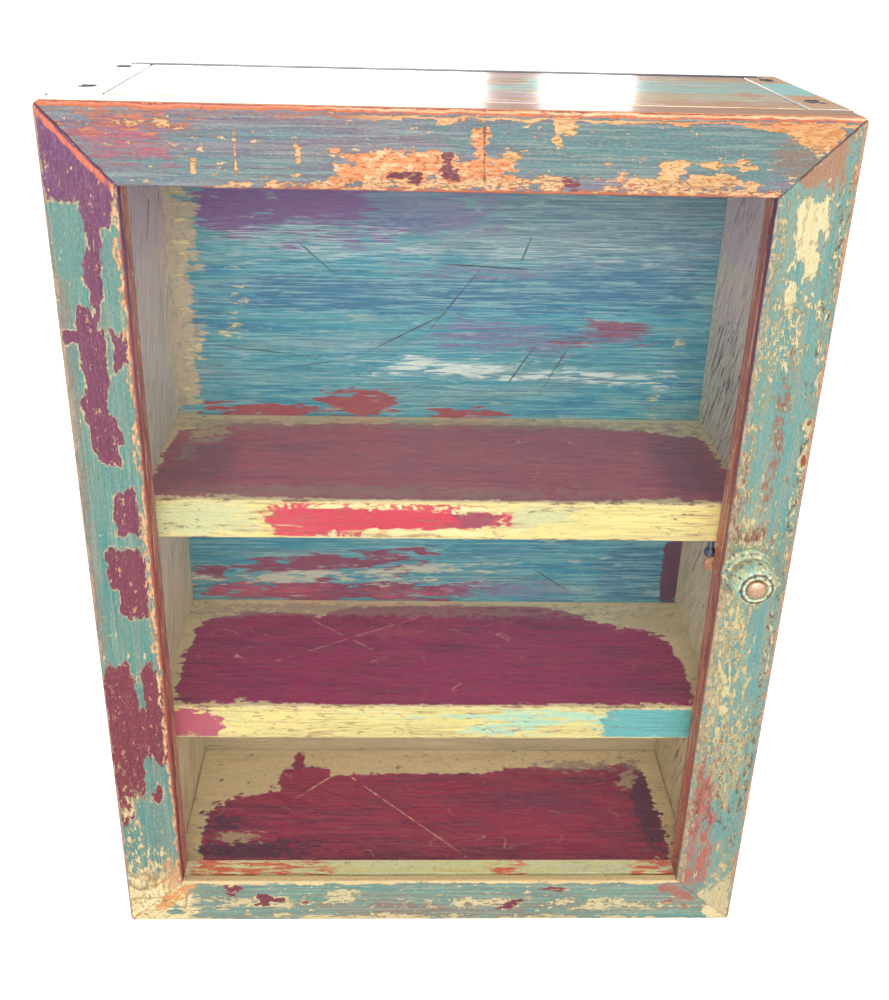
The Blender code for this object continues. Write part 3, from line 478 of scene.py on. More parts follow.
# The sides: full-height boards, brushed in taupe and khaki inside with diagonal marks and old
# gouges, and outside in the same worn teal, plum and cream as the door. The shelves and the ends
# are nailed through them.
SIDE_FRONT, SIDE_REAR, SIDE_TOP = -65.0, 90.0, 590.0
SKIN = 0.5  # how deep a face's own paint goes into the board
OUTER_START = 8.0  # the outer paint starts this far out from a side's inner face
NAILS_BACK = (-32, 65)  # where the two nails stand in a side's top, from front to back
sides = (  # name, inner and outer face, lean of the marks, how gouged, and the nails' line
    ("left", -194.0, -225.0, -58, 0.22, -209.5),
    ("right", 199.0, 225.0, 62, 0.25, 212.0),
)
for side, inner_face, outer_face, lean, gouged, nail_line in sides:
    coat = Coat("side_paint_" + side, "yz", grain=(0.1, 0.05, 0.16), strength=1.7)
    slanted, steep = coat.turned(lean, (1, 0, 0)), coat.turned(1.4 * lean, (1, 0, 0))
    fine = coat.strokes(0.05, 0.02, 0.6, 5.0, slanted)
    # Khaki low on the inner face, turning mauve towards the top: the mauve is painted shade under
    # the top board.
    rise = add(coat.tree, "MapRange", coat.across[2], 40.0, 540.0)
    coat.colour = coat.ramp(rise, "cbb186", "cdb48c", "c3b198", "b3ac9f", "bda9a6", "c5aaa9")
    coat.height = coat.calc("MULTIPLY", fine, 0.5)
    coat.lay(coat.times(coat.above(fine, 0.54, 0.12), 0.36), "8a7c70", -0.1)
    crossing = coat.above(coat.strokes(0.05, 0.02, 0.12, 6.0, steep), 0.6, 0.1)
    coat.lay(coat.times(crossing, 0.3), "786a66", -0.1)
    pale_marks = coat.above(coat.strokes(0.05, 0.02, 0.35, 6.0, slanted), 0.6, 0.1)
    coat.lay(coat.times(pale_marks, 0.5), "dcccaa")
    cream = coat.spots([(72, 430, 9, 90), (70, 240, 8, 50)], 5, 4)
    coat.lay(coat.times(cream, coat.flakes(0.4, 0.5)), "dccf9c", 0.05)
    # A mauve patch high on the inner face: more painted shade under the top board.
    coat.lay(coat.times(coat.spots([(0, 505, 90, 25, -8)], 6, 8), 0.4), "a58fa6")
    gouges = coat.use(flake_effect, slanted, (0.08, 0.022, 0.24), gouged, 0.02)
    coat.lay(gouges, "4b3b3c", -0.5)
    if side == "right":
        more = coat.use(flake_effect, slanted, (0.1, 0.028, 0.34), 0.36, 0.02)
        scarred = coat.spots([(10, 390, 70, 40), (20, 335, 80, 16)], 8, 6)
        coat.lay(coat.times(scarred, more), "4e3d3c", -0.5)

    # The outer face and the front edge, brushed upright.
    way = math.copysign(1, outer_face)
    outside = coat.calc("GREATER_THAN", coat.calc("MULTIPLY", coat.across[0], way),
                        abs(inner_face) + OUTER_START)
    front = coat.calc("LESS_THAN", coat.across[1], SIDE_FRONT + SKIN)
    outside = coat.calc("MAXIMUM", outside, front)
    coat.height = coat.times(coat.height, coat.calc("SUBTRACT", 1.0, outside))
    upright = coat.strokes(0.1, 0.12, 0.01, 5.0)
    combed = coat.strokes(0.1, 0.42, 0.012, 3.0)
    coat.strength, coat.grain = 0.66, (0.1, 0.14, 0.05)
    coat.lay(outside, coat.ramp(upright, "6a9793", "7fa69f", "93aa9e", "a39b8f"))
    coat.lay(coat.times(outside, coat.above(combed, 0.58, 0.14), 0.5), "8d8893")
    pale_marks = coat.above(coat.strokes(0.1, 0.3, 0.02, 4.0), 0.62, 0.1)
    coat.lay(coat.times(outside, pale_marks, 0.5), "a9bcb0", 0.05)
    coat.lay(coat.times(outside, coat.flakes(0.34, 5.0)), "8a3f5a", -0.1, "e6d2a0")
    coat.lay(coat.times(outside, coat.flakes(0.29, 1.2)), "e6d2a0", -0.18, "a08a6c")
    corners = ((min(inner_face, outer_face), SIDE_FRONT, 0.0),
               (max(inner_face, outer_face), SIDE_REAR, SIDE_TOP))
    coat.lay(coat.edges(*corners, 2.6, 1.4), "e0a877", -0.12)
    coat.lay(coat.edges(*corners, 1.0, 0.8), "8f5a45", -0.1)

    # The top end, varnished orange and teal, with painted shade round the nails where their sunken
    # pockets are dark.
    top_face = coat.calc("GREATER_THAN", coat.across[2], SIDE_TOP - SKIN)
    coat.face, coat.strength = "xy", 2.0
    coat.lay(top_face, coat.ramp(combed, "e58450", "d98a66"))
    teal = coat.spots([(212, 20, 30, 26), (-212, 10, 30, 40)], 4, 2)
    coat.lay(coat.times(top_face, teal), "7ccab0")
    # Cream along the top end's edges: worn paint, and a painted highlight along the seam with the
    # top board.
    coat.lay(coat.times(top_face, coat.edges(*corners, 1.8, 1.2)), "f0dcb4", -0.1)
    # Painted shade: a dark, unvarnished patch round each nail, for the shaded pocket it sits in.
    nail_pocket_shade = coat.spots([(nail_line, back, 4.5, 8) for back in NAILS_BACK], 1.5, 0.6)
    pocket_shade = coat.times(top_face, nail_pocket_shade)
    coat.lay(pocket_shade, "2e2c44", -0.2)
    coat.cover("side_" + side, varnish=coat.calc("SUBTRACT", coat.times(top_face, 0.8), pocket_shade))


# The shelves and the bottom board: 28 mm boards, plum on top inside a bare taupe border, with
# their front edges in cream, crimson and teal under chipped varnish. The shelves sit in housings
# in the sides.
BOARD, BOARD_HALF, BOARD_FRONT, BOARD_REAR = 28.0, 210.0, -65.0, 90.0
FRONT_FACE = BOARD_FRONT + 0.8
boards = (  # name, upper face, the plum paint's tones, and the areas that it covers
    ("shelf_upper", 342.0, ("7c4260", "a45470", "be6072", "a64e6c", "8a4a6e"), [
        (2, -6, 189, 57), (2, 8, 160, 55), (-166, -5, 25, 57), (172, -8, 24, 54),
        (-134, 3, 44, 57), (134, 1, 40, 55), (-178, -30, 14, 32), (186, -28, 12, 32)]),
    ("shelf_lower", 180.0, ("5e0a48", "861056", "a81460", "8c1250", "6c1052"), [
        (-3, -6, 182, 57), (-158, -6, 28, 56), (-124, 2, 40, 56), (16, 12, 112, 57),
        (118, -10, 48, 52), (160, -18, 24, 44), (-172, -28, 14, 34), (174, -30, 12, 32)]),
    ("bottom_board", 28.0, ("4a0044", "7a0048", "a8004c", "840050", "560050"), [
        (4, -16, 180, 42), (-140, -26, 40, 34), (146, -10, 38, 48), (-104, 34, 22, 20),
        (-112, 58, 5, 14, -10), (20, 6, 150, 40), (108, 32, 62, 22), (160, 6, 24, 52),
        (176, -24, 10, 34)]),
)
for name, top, plums, areas in boards:
    coat = Coat(name + "_paint", "xy", grain=(0.09, 0.13, 0.14), shine=0.36, strength=1.2)
    broad = coat.strokes(0.008, 0.04, 0.1, 7.0)
    fine = coat.strokes(0.014, 0.5, 0.3, 4.0)
    coat.colour = coat.ramp(broad, "c9b490", "e0cda4", "d0bd9c")
    coat.height = coat.calc("MULTIPLY", fine, 0.25)
    coat.lay(coat.flakes(0.22, 0.7), "8c7a6a", -0.15)

    # Plum over the upper face, streaked dark and pale, and chipped.
    on_top = coat.calc("GREATER_THAN", coat.across[2], top - 1.0)
    inner = coat.times(coat.spots(areas, 2.2, 1.0), on_top)
    coat.lay(inner, coat.ramp(broad, *plums), 0.08)
    coat.lay(coat.times(inner, coat.above(fine, 0.56, 0.14), 0.5), plums[2])
    dark_marks = coat.above(coat.strokes(0.018, 0.4, 0.1, 4.0), 0.58, 0.12)
    coat.lay(coat.times(inner, dark_marks, 0.4), plums[0])
    slanted = coat.turned(24, (0, 0, 1))
    slanted_marks = coat.above(coat.strokes(0.02, 0.5, 0.1, 5.0, slanted), 0.62, 0.1)
    coat.lay(coat.times(inner, slanted_marks, 0.3), "a84c64", -0.05)
    pale_marks = coat.above(coat.strokes(0.02, 0.6, 0.1, 4.0), 0.68, 0.08)
    coat.lay(coat.times(inner, pale_marks, 0.35), "b8566c", -0.05)
    coat.lay(coat.times(inner, coat.flakes(0.17, 0.3)), "c88a78", -0.05)
    scratched = coat.scratches(0.02, 0.02, 0.03, 0.004, 0.02)
    coat.lay(coat.times(inner, scratched), "d0a08c", -0.1)

    # Worn and shaded places on each board's upper face.
    if name == "shelf_upper":
        taupe = coat.spots([(-60, -52, 110, 7), (60, 62, 120, 7), (-150, 60, 40, 8)], 6, 8)
        coat.lay(coat.times(taupe, 0.6), "a48a78")
        worn = coat.spots([(-166, 40, 12, 16, -30), (-176, 10, 5, 14)], 5, 2)
        coat.lay(coat.times(worn, coat.flakes(0.6, 0.5)), "c4ac88", -0.05)
        dark_ends = coat.spots([(170, -5, 20, 50), (-165, -10, 22, 40)], 6, 14)
        coat.lay(coat.times(dark_ends, 0.6), "6a3c5c")
    if name == "bottom_board":
        single = coat.spots([(-15, -10, 44, 0.4, -45), (-90, 35, 14, 0.5, 45)], 0.5, 0.4)
        coat.lay(single, "e0b49a", -0.15)
        darker = coat.spots([(-140, -42, 40, 8), (-165, -14, 12, 8), (176, 6, 9, 46)], 6, 5)
        coat.lay(coat.times(inner, darker, 0.8), "3c0a46")
        coat.lay(coat.times(coat.spots([(80, 14, 50, 10)], 6, 8), 0.5), "5c1054")
        coat.lay(coat.spots([(-152, -30, 14, 5), (168, 40, 5, 10, -30)], 5, 2), "b49c80")
        taupe = coat.spots([(128, 56, 24, 6), (172, 50, 5, 10, -30)], 6, 4)
        coat.lay(coat.times(taupe, 0.8), "a08c80")
    if name == "shelf_lower":
        coat.lay(coat.spots([(60, 45, 5, 3), (-30, 30, 24, 6), (148, 34, 6, 3)], 5, 3), "a83a5e")
        worn = coat.spots([(166, 52, 24, 14)], 5, 1.5)
        coat.lay(worn, coat.ramp(broad, "cdb894", "d8c59e"), 0.05)
        coat.lay(coat.times(coat.spots([(-40, 62, 140, 8)], 6, 6), 0.6), "a08a80")
        single = coat.spots([(-70, 25, 26, 0.4, -40), (-50, 30, 40, 0.4, 30)], 0.5, 0.4)
        coat.lay(single, "c88a96", -0.1)

    # The front edge: cream, brushed along the board, with each board's own colours over it.
    front = coat.calc("LESS_THAN", coat.across[1], FRONT_FACE)
    middle = top - BOARD / 2
    coat.face, coat.grain, coat.strength = "xz", (0.05, 0.1, 0.2), 0.8
    lengthways = coat.strokes(0.012, 0.1, 0.12, 5.0)
    combed = coat.strokes(0.014, 0.1, 0.5, 3.0)
    coat.lay(front, coat.ramp(lengthways, "d6c87a", "ebda86", "f6e290", "f1d27e"))
    coat.lay(coat.times(front, coat.above(combed, 0.6, 0.12), 0.5), "d3b983", -0.05)
    if name == "shelf_upper":
        green = coat.spots([(-165, middle, 42, 13), (60, middle + 3, 24, 8)], 5, 6)
        coat.lay(coat.times(front, green, 0.6), "c3d0a6")
        red = coat.spots([
            (-70, middle, 44, 13), (-30, middle + 1, 56, 11), (10, middle + 3, 34, 8)], 2.4, 1.2)
        red = coat.times(front, red, coat.above(lengthways, 0.16, 0.12))
        coat.lay(red, coat.ramp(combed, "c01c3e", "e0284c", "cc2444"), 0.03)
        crimson = coat.spots([
            (-54, middle - 1, 34, 7), (0, middle, 34, 7), (-70, middle + 6, 26, 2.5)], 2.4, 1.5)
        coat.lay(coat.times(front, crimson, coat.above(combed, 0.15, 0.2)), "d8003c", 0.03)
        dark_end = coat.spots([(22, middle + 1, 14, 7)], 4, 3)
        coat.lay(coat.times(front, dark_end, 0.85), "90164c", 0.02)
        cream = coat.spots([
            (-10, middle - 9, 46, 2.5, 1), (22, middle + 8, 20, 2),
            (-60, middle + 10, 30, 1.5)], 2, 0.6)
        coat.lay(coat.times(front, cream), "f6e2a4", 0.04)
        blobs = coat.spots([(78, middle - 5, 12, 4), (-142, middle - 9, 6, 1.5)], 3, 0.6)
        coat.lay(coat.times(front, blobs), "efdc8c", 0.05)
    cracks = coat.scratches(0.014, 0.1, 0.22, 0.03, 0.12)
    coat.lay(coat.times(front, cracks, 0.7), "94603f", -0.2)
    if name == "shelf_lower":
        red = coat.times(front, coat.spots([(-172, middle - 1, 20, 12, -8)], 4, 1))
        coat.lay(red, coat.ramp(combed, "a02450", "c84a66", "b03a5c"), 0.05)
        mint = coat.spots([(60, middle + 2, 90, 12)], 5, 5)
        coat.lay(coat.times(front, mint, coat.above(lengthways, 0.5, 0.1), 0.8), "a3dcc8", 0.03)
        teal = coat.times(front, coat.spots([(158, middle, 40, 14)], 4, 2))
        coat.lay(teal, coat.ramp(combed, "3f9aa4", "5cb8b8", "459ca0"), 0.05)
        chipped = coat.times(coat.spots([(-20, middle, 170, 14)], 3, 2), coat.flakes(0.24, 0.6))
        coat.lay(coat.times(front, chipped), "b0734e", -0.1)
    if name == "bottom_board":
        coat.lay(coat.times(front, coat.flakes(0.42, 0.9)), "c85f6c", -0.05)
    coat.lay(coat.times(front, coat.flakes(0.22, 0.45)), "8a5a48", -0.12)
    corners = (-BOARD_HALF, BOARD_FRONT, top - BOARD), (BOARD_HALF, BOARD_REAR, top)
    coat.lay(coat.edges(*corners, 1.6, 0.9), "f2dca0", -0.1)
    coat.lay(coat.times(coat.edges(*corners, 1.2, 0.8), coat.flakes(0.4)), "9a6a4c", -0.1)
    coat.cover(name)


# The top board: varnished orange-brown over teal, with strokes along the cabinet and a high
# gloss, which is broken where the varnish has worn thin. It is nailed between the sides.
TOP_FACE = 589.0

coat = Coat("top_paint", "xy", grain=(0.03, 0.12, 0.1), shine=0.2, strength=1.8)
broad = coat.strokes(0.006, 0.05, 0.05, 5.0)
fine = coat.strokes(0.010, 0.3, 0.1, 3.0)
coat.colour = coat.ramp(broad, "dd9058", "d3ac7c", "b4c89c")
coat.height = coat.calc("MULTIPLY", fine, 0.12)
teal = coat.spots([(60, 20, 260, 27)], 7, 4)
coat.lay(coat.times(teal, coat.above(broad, 0.3, 0.2)), "86d6b2", 0.03)
coat.lay(coat.times(coat.above(fine, 0.6, 0.15), 0.5), "a9826a")
orange = coat.spots([
    (60, 74, 260, 15), (60, -52, 260, 12), (28, 30, 22, 16), (180, -8, 5, 12)], 5, 3)
coat.lay(orange, "ef8454", 0.03)
mauve = coat.spots([(40, 64, 24, 10), (30, -32, 24, 12), (28, -62, 22, 5)], 5, 3)
coat.lay(coat.times(mauve, 0.7), "b8959c")
coat.lay(coat.times(coat.flakes(0.36), coat.above(fine, 0.35, 0.2)), "f2e0c0", -0.03)
worn_thin = coat.times(coat.above(fine, 0.56, 0.1), coat.spots([(20, 0, 120, 90)], 4, 60))
upper = coat.calc("GREATER_THAN", coat.across[2], TOP_FACE)
coat.strength = 0.7
under = coat.ramp(coat.strokes(0.02, 0.1, 0.1), "7f9a92", "a89a8a", "c8b48e")
coat.lay(coat.calc("SUBTRACT", 1.0, upper), under)
gloss = coat.calc("MULTIPLY_ADD", worn_thin, -0.55, 0.8)
coat.cover("top_board", varnish=coat.times(upper, gloss))


# Nails: dark cut iron, driven in a little below the wood and rusty in patches. They hold the top,
# the shelves, the bottom and the back to the sides.
def two_tone(name, grain, relief, first, second, blend=0.3, **finish):
    """The finish of a small part: two tones that run into each other, slightly uneven."""
    coat = Coat(name, grain=(grain, grain, grain), **finish)
    coat.colour = coat.ramp(coat.flakes(0.5, 1.0, blend), first, second)
    coat.height = coat.calc("MULTIPLY", coat.ragged, relief)
    return coat


coat = two_tone("nail_iron", 0.9, 0.2, "3b3a4e", "5a2d3a", shine=0.55, strength=1.0)
coat.cover(*[name for name in nodes if "_nail_" in name], Metallic=0.6)


# Hinges: two steel butt hinges with pins and slotted screws, browned by age. One leaf of each is
# screwed to the case's left side, and the other to the door.
coat = two_tone("hinge_steel", 0.5, 0.08, "7b6f63", "4f3a2c", shine=0.4, strength=1.0)
coat.cover(*[name for name in nodes if name.startswith("hinge_")], Metallic=0.85)


# The door frame: four mitred members painted in many coats and rubbed back, so that cream, orange
# and plum show through the teal. Brush marks run along each member, and the arrises are worn to
# the ground.
SIGHT_LOW, SIGHT_HIGH = (-184.0, -200.0, 40.0), (181.0, 200.0, 545.0)
DOOR_LOW, DOOR_HIGH = (-225.0, -90.0, 1.5), (225.0, -66.0, 590.0)
RAIL_GRAIN, STILE_GRAIN = (0.06, 0.1, 0.15), (0.15, 0.1, 0.06)
DOOR_TOP = 589.5

# Distance in millimetres out from the opening that the frame leaves for the glass.
sight_effect, given, out = effect("sight_distance", ("Place", "Centre", "Half size"), "Distance")
offset = vector(sight_effect, "SUBTRACT", given["Place"], given["Centre"])
outward = vector(sight_effect, "SUBTRACT", vector(sight_effect, "ABSOLUTE", offset),
                 given["Half size"])
split = add(sight_effect, "SeparateXYZ", outward).node.outputs
sight_effect.links.new(calc(sight_effect, "MAXIMUM", split[0], split[2]), out)


def arris(coat, width, tatter):
    """Mask over the frame's inner faces and along their edge, to a width in millimetres."""
    middle = [(a + b) / 2 for a, b in zip(SIGHT_LOW, SIGHT_HIGH)]
    half = [(b - a) / 2 for a, b in zip(SIGHT_LOW, SIGHT_HIGH)]
    return coat.near(coat.use(sight_effect, coat.place, middle, half), width, tatter)


def outer_edge(coat, width, tatter):
    """Mask along the door's outer edges, to a width in millimetres."""
    return coat.edges(DOOR_LOW, DOOR_HIGH, width, tatter)


def mitre(side, half_width):
    """The joint line of an upper mitre, as a place for a spot."""
    across, turned = {"left": (-204.5, -47.7), "right": (203, 45.6)}[side]
    return across, 567.5, 33, half_width, turned


def scraped_corner(coat):
    """Lay cream and orange ground over the low left corner, scraped along the mitre."""
    area = coat.spots([(-206, 22, 30, 28)], 6, 5)
    slanted = coat.turned(-43, (0, -1, 0), (-200, 0, 20))
    streaks = coat.strokes(0.03, 0.1, 0.3, 6.0, slanted)
    coat.lay(area, coat.ramp(streaks, "d0b080", "f2dea6", "fcf0c0", "f4e2ae"), -0.1)
    orange = coat.above(coat.strokes(0.02, 0.1, 0.16, 5.0, slanted), 0.72, 0.06)
    coat.lay(coat.times(area, orange), "e8a458")
    coat.lay(coat.times(area, coat.flakes(0.3, 0.28)), "8c6c4c", -0.15)
    coat.lay(coat.times(area, coat.scratches(0.05, 0.02, 0.05, 0.05, 0.2)), "a8845c", -0.2)


# Top rail: slate blue and mauve.
coat = Coat("rail_top_paint", grain=RAIL_GRAIN, strength=0.57)
broad = coat.strokes(0.007, 0.2, 0.09, 5.0)
fine = coat.strokes(0.010, 0.2, 0.45, 3.0)
coat.colour = coat.ramp(broad, "5f9ca4", "749fa8", "8a93a6", "9a8a9c", "86a4aa")
coat.height = coat.calc("MULTIPLY", fine, 0.45)
green = coat.spots([(130, 572, 95, 16), (-110, 553, 70, 6)], 8, 14)
coat.lay(coat.times(green, 0.7), "6aa3a2")
coat.lay(coat.times(coat.above(fine, 0.52, 0.14), 0.55), "7a6c84", -0.1)
teal = coat.spots([(112, 570, 108, 20)], 8, 10)
coat.lay(coat.times(teal, coat.above(broad, 0.2, 0.4), 0.5), "58999a")
pale_marks = coat.above(coat.strokes(0.014, 0.2, 0.5, 3.0), 0.62, 0.1)
coat.lay(coat.times(pale_marks, 0.5), "aebdb8", 0.05)

# Its left end is rose and coral, and its right end brown.
rose = coat.spots([(-184, 571, 30, 14)], 9, 9)
coat.lay(coat.times(rose, coat.above(fine, 0.3, 0.4), 0.75), "b06a80", 0.03)
pink = coat.spots([(-180, 573, 13, 7)], 6, 6)
coat.lay(coat.times(pink, coat.above(fine, 0.25, 0.3), 0.7), "d8627c", 0.03)
coral = coat.spots([(-178, 581, 30, 7)], 4, 2)
coral_marks = coat.above(coat.strokes(0.05, 0.2, 0.5, 4.0), 0.54, 0.08)
coat.lay(coat.times(coral, coral_marks), "e88a6c", -0.1)
brown = coat.spots([(187, 566, 12, 9)], 5, 6)
coat.lay(coat.times(brown, coat.above(fine, 0.25, 0.4), 0.8), "9c7f70")
sight_orange = coat.times(arris(coat, 3.0, 1.8), coat.spot(32, 545, 148, 12, 4, 3))
coat.lay(sight_orange, "e5805a", -0.12)

# A band of cream chips and orange patches along the lower edge, and drips above it.
coat.strength = 0.7
band = coat.spots([
    (2, 550.5, 64, 3.8), (115, 550.5, 38, 3.8), (-80, 547.5, 36, 1.8),
    (160, 548, 16, 1.8)], 2.6, 0.6)
cream = coat.ramp(fine, "ffdcae", "f2bd86", "fbe0b4")
coat.lay(coat.times(band, coat.flakes(0.66, 0.36)), cream, -0.12, "b8684c")
coat.lay(coat.times(band, coat.flakes(0.38, 0.2)), "d4704c", -0.1)
orange = coat.spots([
    (-30, 559, 34, 7.5), (8, 558.5, 21, 6), (14, 568, 4, 9), (-56, 555, 10, 5),
    (92, 555, 3.5, 4)], 2.6, 0.5)
coat.lay(orange, coat.ramp(fine, "f87a42", "ff965a", "ffb078", "fa8850"), -0.16, "ffd0a2")
coat.lay(coat.times(orange, coat.flakes(0.36, 0.22)), "c8643f", -0.08)
coat.lay(coat.times(orange, coat.flakes(0.42, 0.34)), "ffd6a6", 0.05)
drips = coat.spots([
    (59, 582, 7, 6), (56, 575, 2.6, 6), (120, 559, 8, 6), (136, 553, 14, 4),
    (31, 567, 5, 1.4), (84, 563, 4, 1), (152, 563, 8, 1.5), (-168, 580, 10, 1.6)], 2.4, 0.5)
thin_drips = coat.spots([(-142, 557, 1.8, 4.5), (-85, 564, 1.8, 4.5), (-119, 562, 0.4, 6)],
                        0.9, 0.4)
drips = coat.calc("MAXIMUM", drips, thin_drips)
coat.lay(drips, coat.ramp(fine, "f0a868", "f3c890", "efb47a"), -0.14, "b0714c")
coat.lay(coat.times(drips, coat.flakes(0.34, 0.22)), "c87c48", -0.1)
right_end = coat.spots([(200, 580, 12, 8), (181, 584, 14, 3)], 3, 0.8)
right_tones = coat.ramp(coat.flakes(0.5, 0.6, 0.1), "f0b878", "d58a4c")
coat.lay(right_end, right_tones, -0.12, "a86f44")
dark_red = coat.spots([
    (-3, 561, 2, 4), (-1, 555.5, 4, 2), (66, 550, 4, 3.5), (-25, 554, 6, 1.5)], 3, 0.5)
coat.lay(dark_red, "8a4252", -0.05)
coat.lay(coat.flakes(0.24, 0.4), "f3cfa2", -0.12)

# Its outer edge: a wavy orange line inside the edge, and coral and cream on the edge itself.
inside_edge = coat.calc("SUBTRACT", 1.0, outer_edge(coat, 4.4, 0.8))
wavy = coat.times(outer_edge(coat, 6.2, 1.8), inside_edge)
rightward = add(coat.tree, "MapRange", coat.across[0], -100.0, -30.0, 0.12, 1.0)
wavy_tones = coat.ramp(broad, "f39a5c", "f6be86", "ee8a50")
coat.lay(coat.times(wavy, rightward, coat.flakes(0.8, 0.6)), wavy_tones, -0.1, "a8583c")
coat.lay(outer_edge(coat, 3.4, 0.8), "de7446", -0.08)
coat.strength = 0.8
coral = coat.ramp(broad, "d0605c", "e8826a", "d46a50")
coat.lay(coat.times(outer_edge(coat, 1.9, 0.9), 0.9), coral)
cream = coat.ramp(broad, "ffe0b8", "f7b184", "ffe6c6")
creamy = coat.times(outer_edge(coat, 2.2, 0.7), rightward, coat.flakes(0.75, 0.5))
coat.lay(creamy, cream, -0.08)
coat.lay(coat.times(outer_edge(coat, 0.9, 0.5), coat.flakes(0.7)), "a8503c", -0.1)
top_face = coat.calc("GREATER_THAN", coat.across[2], DOOR_TOP)
top_strokes = coat.strokes(0.01, 0.3, 0.1, 4.0)
coat.lay(top_face, coat.ramp(top_strokes, "b86a48", "e89a66", "d9a070", "8a5a60"))
crack = (16.5, 561, 0.35, 13, 2)
joints = coat.spots([crack, mitre("left", 0.45), mitre("right", 0.4)], 0.5, 0.5)
coat.lay(coat.times(joints, 0.8), "6b3a44", -0.35)
coat.lay(arris(coat, 0.4, 0.2), coat.ramp(broad, "7d5a78", "a8646a"))
coat.cover("rail_top", varnish=coat.times(top_face, 0.8))

# Bottom rail: teal with cream chips, and its ends scraped to the ground.
coat = Coat("rail_bottom_paint", grain=RAIL_GRAIN)
broad = coat.strokes(0.007, 0.2, 0.1, 5.0)
fine = coat.strokes(0.010, 0.2, 0.45, 3.0)
coat.colour = coat.ramp(broad, "58a49e", "76aca2", "8fa698", "9c9a8c")
coat.height = coat.calc("MULTIPLY", fine, 0.45)
taupe = coat.spots([(-5, 12, 72, 8)], 6, 5)
coat.lay(coat.times(taupe, coat.above(broad, 0.25, 0.3), 0.85), "a08278")
coat.lay(coat.times(coat.above(fine, 0.56, 0.14), 0.5), "8c8a86", -0.1)
pale_marks = coat.above(coat.strokes(0.014, 0.2, 0.5, 3.0), 0.62, 0.1)
coat.lay(coat.times(pale_marks, 0.5), "b4cbb8", 0.05)
cream = coat.spots([
    (-60, 4, 66, 3.6), (90, 2, 60, 2), (132, 17, 22, 5), (175, 16, 10, 3.5), (30, 19, 36, 4),
    (-70, 25, 11, 6), (-128, 20, 34, 6), (100, 20, 10, 2)], 3, 0.6)
coat.lay(coat.times(cream, coat.flakes(0.62, 0.45)), "f3e4b2", -0.16, "7f6450")
plum = coat.spots([
    (-149, 32, 6, 5, -40), (-126, 21, 4, 5), (-110, 21, 10, 1.8), (84, 32, 9, 1.6),
    (62, 20, 8, 2, 25)], 3.2, 0.5)
coat.lay(plum, "8a2f48", -0.1, "e8d8ae")
coat.strength = 0.8
scraped_corner(coat)
orange = coat.spots([(-182, 34, 18, 5, 30), (-198, 20, 10, 3, 40)], 5, 3)
coat.lay(coat.times(orange, coat.flakes(0.6, 0.8, 0.1)), "eaa060")
brown = coat.spots([(190, 30, 8, 18, -50), (176, 34, 6, 9)], 6, 4)
coat.lay(coat.times(brown, coat.flakes(0.66, 0.8, 0.1)), "b06a5c")
coat.lay(coat.spots([(-192, 11, 6, 3, 30), (214, 12, 3, 9)], 2.5, 1), "77988f")
coat.lay(coat.spots([(214, 20, 9, 18)], 4, 1), "eddcac", -0.1)
arris_cream = coat.ramp(broad, "f2dba6", "efcf98")
coat.lay(coat.times(arris(coat, 2.4, 1.6), coat.flakes(0.8, 0.5)), arris_cream, -0.12, "b09070")
coat.lay(outer_edge(coat, 1.8, 1.5), "ecd29e", -0.12)
coat.lay(coat.flakes(0.28, 0.5), "ecd9a6", -0.12)
coat.cover("rail_bottom")

# Left stile: teal, with plum where the later coats have come away in large flakes.
coat = Coat("stile_left_paint", grain=STILE_GRAIN, strength=0.58)
broad = coat.strokes(0.09, 0.2, 0.008, 5.0)
fine = coat.strokes(0.45, 0.2, 0.010, 3.0)
coat.colour = coat.ramp(broad, "3f9d9c", "5aaaa4", "7cac9f", "9c9e94")
coat.height = coat.calc("MULTIPLY", fine, 0.45)
taupe = coat.spots([(-224, 380, 6, 190)], 2.5, 3)
coat.lay(coat.times(taupe, coat.above(fine, 0.4, 0.25)), "a28f84")
coat.lay(coat.times(coat.above(fine, 0.56, 0.14), 0.45), "8d9491", -0.1)
pale_marks = coat.above(coat.strokes(0.5, 0.2, 0.014, 3.0), 0.62, 0.1)
coat.lay(coat.times(pale_marks, 0.5), "aac4b6", 0.05)
plum_spots = [
    (-204, 582, 30, 46), (-197, 533, 9, 14), (-198.5, 518, 4.4, 13), (-203.5, 503, 7, 8),
    (-204, 497, 5.5, 9), (-202, 485, 3, 9), (-201.5, 475, 1.8, 8), (-210, 470, 4, 6),
    (-209, 463, 7, 7), (-217, 459, 8, 4, 8), (-206.5, 447, 7.5, 20), (-207, 428, 6, 16),
    (-209, 412, 7.5, 10), (-207, 398, 7.5, 13), (-199.5, 394, 5.5, 4.5), (-203.5, 386, 6.5, 9),
    (-198.5, 402, 2.2, 8), (-191, 450, 4.6, 12), (-197, 345, 7.5, 16), (-201, 303, 12, 16),
    (-198, 284, 9, 16), (-214, 176, 13, 54), (-192, 190, 8, 40), (-204, 176, 9, 32),
    (-196, 122, 4, 7), (-219, 118, 5, 22)]
plum = coat.spots(plum_spots, 1.8, 0.4)
rim_spots = [(x, z, half_x + 1, half_z + 1, *turned)
             for x, z, half_x, half_z, *turned in plum_spots]
rim = coat.times(coat.spots(rim_spots, 1.9, 0.5), coat.flakes(0.6, 0.7))
coat.lay(rim, "e8d8ae", -0.1)
rise = add(coat.tree, "MapRange", coat.across[2], 100.0, 590.0)
plum_tones = coat.ramp(rise, "a03448", "983650", "924064", "8e4872", "8d5894")
coat.lay(plum, plum_tones, -0.14, "b8a88a")
coat.lay(coat.times(plum, coat.above(fine, 0.5, 0.3), 0.4), "76304e")
coat.lay(coat.times(plum, coat.flakes(0.24, 0.4)), "e8b48c", 0.05)
